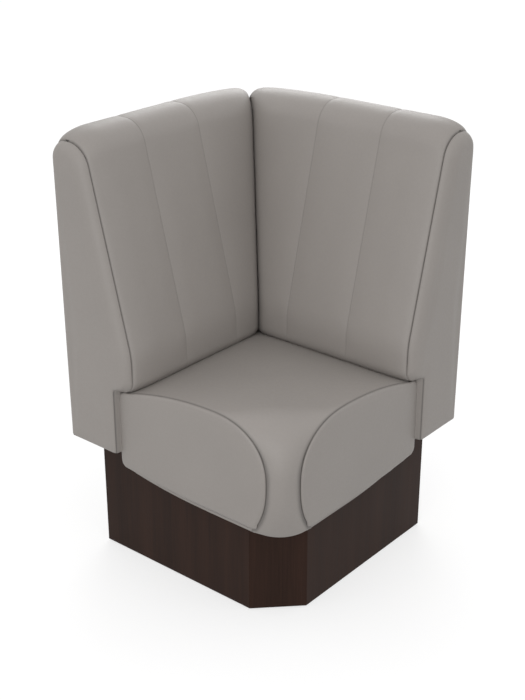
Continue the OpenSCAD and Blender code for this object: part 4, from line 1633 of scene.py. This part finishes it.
    def end_outline(self, off: float) -> np.ndarray:
        """Works out the closed outline of a seat end at its seam, with its corners rounded.

        Args:
            off: How far the outline is moved inwards.

        Returns:
            The outline's points, as (depth, height).
        """
        s = self.s
        line = self.seam_line(off, s.end_low_z + off)[0]
        line = np.stack(self.resample(line, [], self.OUTLINE_STEPS), 1)
        rear = s.end_rear_d + off
        top = line[np.searchsorted(line[:, 0], rear + s.end_top_r + s.rear_d - s.end_rear_d)]
        corner = arc((rear + s.end_top_r, top[1] - s.end_top_r - MM), s.end_top_r, 180, 100, 6)
        line = line[(line[:, 0] > top[0]) | (line[:, 1] < s.front_z)]
        toe_z = s.end_low_z + off + s.end_low_r
        toe = line[line[:, 1] > toe_z]
        foot = arc((toe[-1][0] - s.end_low_r, toe_z), s.end_low_r, -10, -90, 6)
        heel_z = self.low_z(rear + s.heel_r) + off + s.heel_r
        heel = arc((rear + s.heel_r, heel_z), s.heel_r, -90, -180, 12)
        depth = np.linspace(foot[-1][0], heel[0][0], 62)[1:-1]
        low = np.stack([depth, self.low_z(depth) + off], 1)
        upright = np.stack([np.full(28, rear), np.linspace(heel[-1][1], corner[0][1], 30)[1:-1]], 1)
        return np.vstack([corner, toe, foot, low, heel, upright])

    def end_ring(self, share: float, at: float, off: float) -> np.ndarray:
        """Works out a closed outline of a seat end, drawn in about its middle.

        Args:
            share: The outline's size, as a share of its full size.
            at: Its distance from the end face.
            off: How far it is moved inwards.

        Returns:
            The outline's points.
        """
        s = self.s
        middle = np.array([(s.rear_d + s.front_d) / 2, (s.crown_z + s.bottom_z) / 2])
        line = middle + (self.end_outline(off) - middle) * share
        return s.place(np.stack([line[:, 0], np.full(len(line), at), line[:, 1]], 1))

    def build_end(self, name: str) -> Piece:
        """Builds a padded D-shaped end, cut flat at its seam.

        Args:
            name: The piece's name.

        Returns:
            The padded end.
        """
        s, off = self.s, self.s.end_in
        rings = [self.end_ring(1, s.inset + spare, off) for spare in (s.end_spare, 0.5 * s.end_spare)]
        for x in np.linspace(0, 1, self.END_RINGS) ** 1.5:
            out = (s.end_swell - off) * (1 - (1 - x) ** 2) ** s.end_roundness
            rings.append(self.end_ring(1 - 0.5 * x, s.inset - out, off))
        pad = tube(name, np.array(rings))
        seam = self.seams()[0]
        outline = self.end_ring(1, s.inset, s.rim_in)
        EndShaping(gap=s.gap, hold=5 * MM, reach=4 * MM).shape(pad, seam, outline)
        carve(pad, [seam], np.ones(len(pad.data.vertices)))
        smooth(pad)
        return pad

    def build(self, finish: Finishes) -> None:
        """Builds the cushion and its two ends.

        Args:
            finish: The materials by slot.
        """
        cushion = self.build_cushion("seat_cushion")
        dress_pad(cushion, finish, ("seat_foam", "seat_cover_top"))
        ends = with_mirror(self.build_end("seat_end_left"), "seat_end_right")
        for side, pad in ends.items():
            dress_pad(pad, finish, (f"seat_pad_{side.value}", f"seat_cover_{side.value}"))


@dataclass
class SeatUnderside:
    """The seat's base panel and side rails, wrapped in the cover under the seat ends."""

    rim_in: float = 10 * MM
    rim_rise: float = 22 * MM
    plane_rear: float = 34 * MM
    plane_front: float = 15 * MM
    plane_fall: float = 0.6
    wrap_t: float = 1.5 * MM
    wrap_rings: int = 60
    edge: float = 0.8 * MM
    corner_r: float = 4 * MM
    toe: float = 8 * MM
    tuck: float = 25 * MM

    def rim(self, seat: Seat, depth: np.ndarray) -> np.ndarray:
        """Works out how far the base's rim lies from the end face.

        Args:
            seat: The seat.
            depth: Depths from the wall.

        Returns:
            The distances.
        """
        s = seat.s
        turn = np.clip((s.rear_d + self.corner_r - depth) / self.corner_r, 0, 1)
        corner = self.corner_r * (1 - np.sqrt(1 - turn**2))
        return s.inset + self.rim_in + self.rim_rise * seat.rise(depth) + corner

    def build_base(self, seat: Seat, name: str) -> Piece:
        """Builds the base panel, set in from the seat's ends and from its front curve.

        Args:
            seat: The seat.
            name: The piece's name.

        Returns:
            The panel.
        """
        s = seat.s
        low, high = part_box("seat_base")
        depth = s.rear_d + (s.width - s.inset - s.chamfer - s.rear_d) * np.linspace(0, 1, 60) ** 2
        side = np.stack([depth, self.rim(seat, depth)], 1)
        rim = s.inset + self.rim_in
        curve = arc((s.width - rim - s.chamfer, rim + s.chamfer), s.chamfer, -90, 0, 24)
        half = np.vstack([side, curve[curve[:, 0] > depth[-1] + 0.5 * MM]])
        other = s.width - half[::-1, ::-1]
        near, far = half.sum(1) < s.width, other.sum(1) > s.width
        plan = np.vstack([half[near], other[far], [[s.rear_d, high.y + s.half]]])
        rings = [np.column_stack([plan, np.full(len(plan), z)]) for z in (low.z, high.z)]
        base = tube(name, s.place(np.array(rings)))
        soften(base, self.edge)
        return base

    def build_wrap(self, seat: Seat, name: str) -> Piece:
        """Builds the cover's edge from a seat end down to the base panel, tucked in at its rear.

        Args:
            seat: The seat.
            name: The piece's name.

        Returns:
            The cover's edge.
        """
        s, t = seat.s, self.wrap_t
        side, z = s.inset + s.gap, s.bottom_z + s.gap
        rear = s.rear_d + self.corner_r
        along = np.linspace(rear, s.width - s.inset - s.chamfer + self.toe, self.wrap_rings)
        rings = []
        for depth in np.concatenate([[rear, rear + t], along[1:]]):
            top, rim = float(seat.low_z(depth)), float(self.rim(seat, depth))
            deep, lift = (self.tuck, 3 * t) if depth <= rear + t else (t, t)
            ring = [(side, top), (rim, z), (rim + deep, z), (rim + deep, z + lift),
                    (side + t, top + lift), (side, top + lift)]
            rings.append([(depth, v, height) for v, height in ring])
        wrap = tube(name, s.place(np.array(rings)))
        smooth(wrap)
        return wrap

    def plane_off(self, seat: Seat, name: str, node: str, both: bool = False) -> Piece:
        """Copies a rail and planes off what would show below the seat ends.

        Args:
            seat: The seat.
            name: The new piece's name.
            node: The rail.
            both: Whether it is planed below the right seat end too.

        Returns:
            The planed rail.
        """
        s = seat.s
        rail = copy_node(name, node)
        rear = Vector((s.rear_x, s.seam_y, s.bottom_z + self.plane_rear))
        front = Vector((s.front_x, s.seam_y, s.bottom_z + self.plane_front))
        normal = (front - rear).cross(Vector((0, 1, -self.plane_fall)))
        normal = normal if normal.z < 0 else -normal
        cut_clean(rail, rear, normal)
        if both:
            cut_clean(rail, MIRROR @ rear, MIRROR @ normal)
        smooth(rail)
        return rail

    def build(self, seat: Seat, finish: Finishes) -> None:
        """Builds the base, the wraps and the rails.

        Args:
            seat: The seat.
            finish: The materials by slot.
        """
        base = self.build_base(seat, "seat_base_wrapped")
        dress(base, Slot.COVER, finish, ("seat_base",))
        wrap = self.build_wrap(seat, "seat_wrap_left")
        rail = self.plane_off(seat, "seat_rail_planed_left", "seat_rail_left")
        wraps, rails = with_mirror(wrap, "seat_wrap_right"), with_mirror(rail, "seat_rail_planed_right")
        for side in Side:
            dress(wraps[side], Slot.COVER, finish)
            dress(rails[side], Slot.COVER, finish, (f"seat_rail_{side.value}",))
        for node in ("seat_rail_corner", "seat_rear_rails"):
            board = self.plane_off(seat, f"{node}_planed", node, both=True)
            dress(board, Slot.COVER, finish, (node,))


# Hard pieces


@dataclass
class Panels:
    """The plinth panels, with their edges eased."""

    edge: float = 0.8 * MM

    PANELS = ("left", "right", "corner", "side", "rear")

    def build(self, finish: Finishes) -> None:
        """Builds the panels from their solids.

        Args:
            finish: The materials by slot.
        """
        for panel_name in self.PANELS:
            node = f"plinth_panel_{panel_name}"
            panel = copy_node(f"{node}_veneered", node)
            soften(panel, self.edge)
            dress(panel, Slot.PLINTH, finish, (node,))


@dataclass
class RearCloth:
    """Black dust cloth stapled over the rear of a back.

    Attributes:
        thickness: The cloth's thickness.
        inset: How far the cloth's edges lie inside those of its solid.
        stand: How far the cloth stands off the solid's rear face.
        hem: Width of the turned edge.
        hem_lift: How far the turned edge stands out.
        cell: The cloth's mesh pitch.
        pucker: Depth of the puckers between staples.
        pucker_fade: How fast the puckers fade inwards.
        pucker_reach: How far from the edge they end.
        pitch: Distance between staples.
        staple_w: Width of a staple.
        staple_in: How far a staple's wire lies in front of the solid's rear face.
        wire: Thickness of the staple's wire.
    """

    thickness: float = 0.4 * MM
    inset: float = 1.0 * MM
    stand: float = 1.0 * MM
    hem: float = 14 * MM
    hem_lift: float = 0.35 * MM
    cell: float = 7 * MM
    pucker: float = 0.25 * MM
    pucker_fade: float = 25 * MM
    pucker_reach: float = 60 * MM
    pitch: float = 42 * MM
    staple_w: float = 10 * MM
    staple_in: float = 0.35 * MM
    wire: float = 0.9 * MM

    def corners(self) -> tuple:
        """Works out where the left cloth lies.

        Returns:
            Its lowest corner and its highest one.
        """
        low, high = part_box("left_cover_rear")
        edge = Vector((0, self.inset, self.inset))
        return low + edge, high - edge

    def build_cloth(self, name: str) -> Piece:
        """Builds the cloth of the left back.

        Args:
            name: The piece's name.

        Returns:
            The cloth.
        """
        low, high = self.corners()
        across, up = round((high.y - low.y) / self.cell), round((high.z - low.z) / self.cell)
        y, z = np.meshgrid(np.linspace(low.y, high.y, across + 1), np.linspace(low.z, high.z, up + 1))
        border = np.minimum(np.minimum(y - low.y, high.y - y), np.minimum(z - low.z, high.z - z))
        waves = np.cos(2 * math.pi * (y + z) / self.pitch)
        puckers = self.pucker * waves * np.exp(-border / self.pucker_fade)
        x = low.x + self.stand - self.hem_lift * (border < self.hem) - puckers * (border < self.pucker_reach)
        faces = []
        for i in range(up):
            for j in range(across):
                k = i * (across + 1) + j
                faces.append((k, k + across + 1, k + across + 2, k + 1))
        cloth = piece_from(name, np.stack([x, y, z], -1), faces)
        apply(cloth, "SOLIDIFY", thickness=self.thickness, offset=0)
        face_outwards(cloth)
        smooth(cloth, 60)
        return cloth

    def staple(self) -> Piece:
        """Models one staple's crown, a bar of wire with eased edges.

        Returns:
            The staple, at the origin.
        """
        bpy.ops.object.select_all(action="DESELECT")
        bpy.ops.mesh.primitive_cube_add(size=1)
        staple = bpy.context.active_object
        with editing(staple):
            bpy.ops.transform.resize(value=(0.6 * self.wire, self.staple_w, self.wire))
            bpy.ops.mesh.bevel(offset=0.2 * self.wire, segments=1, affect="EDGES")
        return staple

    def build_staples(self, name: str) -> Piece:
        """Copies the staple round the left cloth's edge and joins the copies.

        Args:
            name: The piece's name.

        Returns:
            The staples as one piece.
        """
        staple = self.staple()
        level = points_of(staple)
        upright = level[:, [0, 2, 1]] * [1, -1, 1]
        faces = [tuple(p.vertices) for p in staple.data.polygons]
        bpy.data.objects.remove(staple)
        low, high = self.corners()
        edge = Vector((0, 0.5 * self.hem, 0.5 * self.hem))
        low, high = low + edge, high - edge
        x = low.x + self.staple_in
        across, up = round((high.y - low.y) / self.pitch), round((high.z - low.z) / self.pitch)
        places = [((x, y, z), level) for y in np.linspace(low.y, high.y, across + 1)
                  for z in (low.z, high.z)]
        places += [((x, y, z), upright) for z in np.linspace(low.z, high.z, up + 1)[1:-1]
                   for y in (low.y, high.y)]
        points = np.vstack([shape + np.array(place) for place, shape in places])
        starts = range(0, len(points), len(level))
        copied = [tuple(start + k for k in face) for start in starts for face in faces]
        staples = piece_from(name, points, copied)
        face_outwards(staples)
        return staples

    def build(self, finish: Finishes) -> None:
        """Builds both cloths with their staples.

        Args:
            finish: The materials by slot.
        """
        cloth = self.build_cloth("left_dust_cloth")
        staples = self.build_staples("left_rear_staples")
        cloths, wires = with_mirror(cloth, "right_dust_cloth"), with_mirror(staples, "right_rear_staples")
        for side in Side:
            sheet = cloths[side]
            dress(sheet, Slot.CLOTH, finish, (f"{side.value}_cover_rear",))
            dress(wires[side], Slot.STEEL, finish)


class Frame:
    """The CAD nodes that stay as they are, with better materials."""

    SLOTS = {row["node"]: row["material_slot"] for row in frame["record"]["subparts"]}

    def dress(self, finish: Finishes) -> None:
        """Gives each node that is still shown the material of its slot.

        Args:
            finish: The materials by slot.
        """
        for name, node in frame["nodes"].items():
            if not node.hide_render:
                node.data.materials.clear()
                node.data.materials.append(finish[Slot(self.SLOTS[name])])


# Studio


@dataclass(frozen=True)
class Lamp:
    """A square soft light that points at the middle of the unit."""

    name: str
    place: tuple
    size: float
    power: float

    MIDDLE = (0, 0, 0.6)

    def build(self) -> None:
        """Adds the light."""
        data = bpy.data.lights.new(self.name, "AREA")
        data.size = self.size
        data.energy = self.power
        lamp = linked(self.name, data)
        lamp.location = self.place
        lamp.rotation_euler = aim(self.place, self.MIDDLE)


@dataclass
class Studio:
    """Camera, lights and a pale floor."""

    eye: tuple = (1.7380, -2.0974, 1.7416)
    target: tuple = (-0.0042, -0.0035, 0.4948)
    lens: float = 67.36
    sensor: float = 36
    shift: tuple = (-0.001, 0.0011)
    far: float = 50
    world: float = 0.96
    floor_size: float = 40
    floor_shade: float = 0.42
    floor_glow: float = 0.62
    lamps: tuple = (Lamp("rim_light", (-1.6, 2.1, 1.9), 1.6, 20.0),
                    Lamp("front_light", (1.3, -3.0, 1.3), 2.2, 24.0))

    def camera(self) -> None:
        """Sets the camera at the photograph's viewpoint."""
        data = bpy.data.cameras.new("camera")
        data.lens = self.lens
        data.sensor_width = self.sensor
        data.shift_x, data.shift_y = self.shift
        data.clip_end = self.far
        camera = linked("camera", data)
        camera.location = self.eye
        camera.rotation_euler = aim(self.eye, self.target)
        bpy.context.scene.camera = camera

    def sky(self) -> None:
        """Lights the unit evenly, before a white backdrop."""
        world = bpy.data.worlds.new("studio")
        bpy.context.scene.world = world
        world.use_nodes = True
        nodes = Nodes(world.node_tree)
        plain = nodes.add("ShaderNodeBackground", {"Color": WHITE, "Strength": self.world})
        white = nodes.add("ShaderNodeBackground", {"Color": WHITE, "Strength": 1.0})
        inputs = {0: nodes.seen(), 1: plain.outputs[0], 2: white.outputs[0]}
        mix = nodes.add("ShaderNodeMixShader", inputs)
        nodes.plug(nodes.tree.nodes["World Output"].inputs[0], mix.outputs[0])

    def floor(self) -> None:
        """Lays a pale floor that keeps the unit's shadow."""
        bpy.ops.object.select_all(action="DESELECT")
        bpy.ops.mesh.primitive_plane_add(size=self.floor_size)
        floor = bpy.context.active_object
        floor.name = "floor"
        r = Recipe("floor")
        shade = (self.floor_shade, self.floor_shade, self.floor_shade, 1)
        floor.data.materials.append(r.set(base_color=shade, roughness=0.9, specular_ior_level=0.0))
        strength = r.math("MULTIPLY", r.seen(), self.floor_glow)
        glow = r.add("ShaderNodeEmission", {"Color": WHITE, "Strength": strength})
        both = r.add("ShaderNodeAddShader", {0: r.shader.outputs[0], 1: glow.outputs[0]})
        r.plug(r.tree.nodes["Material Output"].inputs[0], both.outputs[0])

    def build(self) -> None:
        """Sets the whole studio up."""
        bpy.context.scene.view_settings.view_transform = "Standard"
        self.camera()
        self.sky()
        self.floor()
        for lamp in self.lamps:
            lamp.build()


def aim(place: tuple, target: tuple) -> tuple:
    """The rotation that points a camera or lamp from its place at a target."""
    away = Vector(target) - Vector(place)
    return away.to_track_quat("-Z", "Y").to_euler()


def main() -> None:
    """Builds the studio and the unit's pieces in order."""
    Studio().build()
    finish = make_finishes()
    Back(BackSizes()).build(finish)
    seat = Seat(SeatSizes())
    seat.build(finish)
    SeatUnderside().build(seat, finish)
    Panels().build(finish)
    RearCloth().build(finish)
    Frame().dress(finish)


if __name__ == "__main__":
    logging.basicConfig(level=logging.INFO, format="%(message)s")
    main()
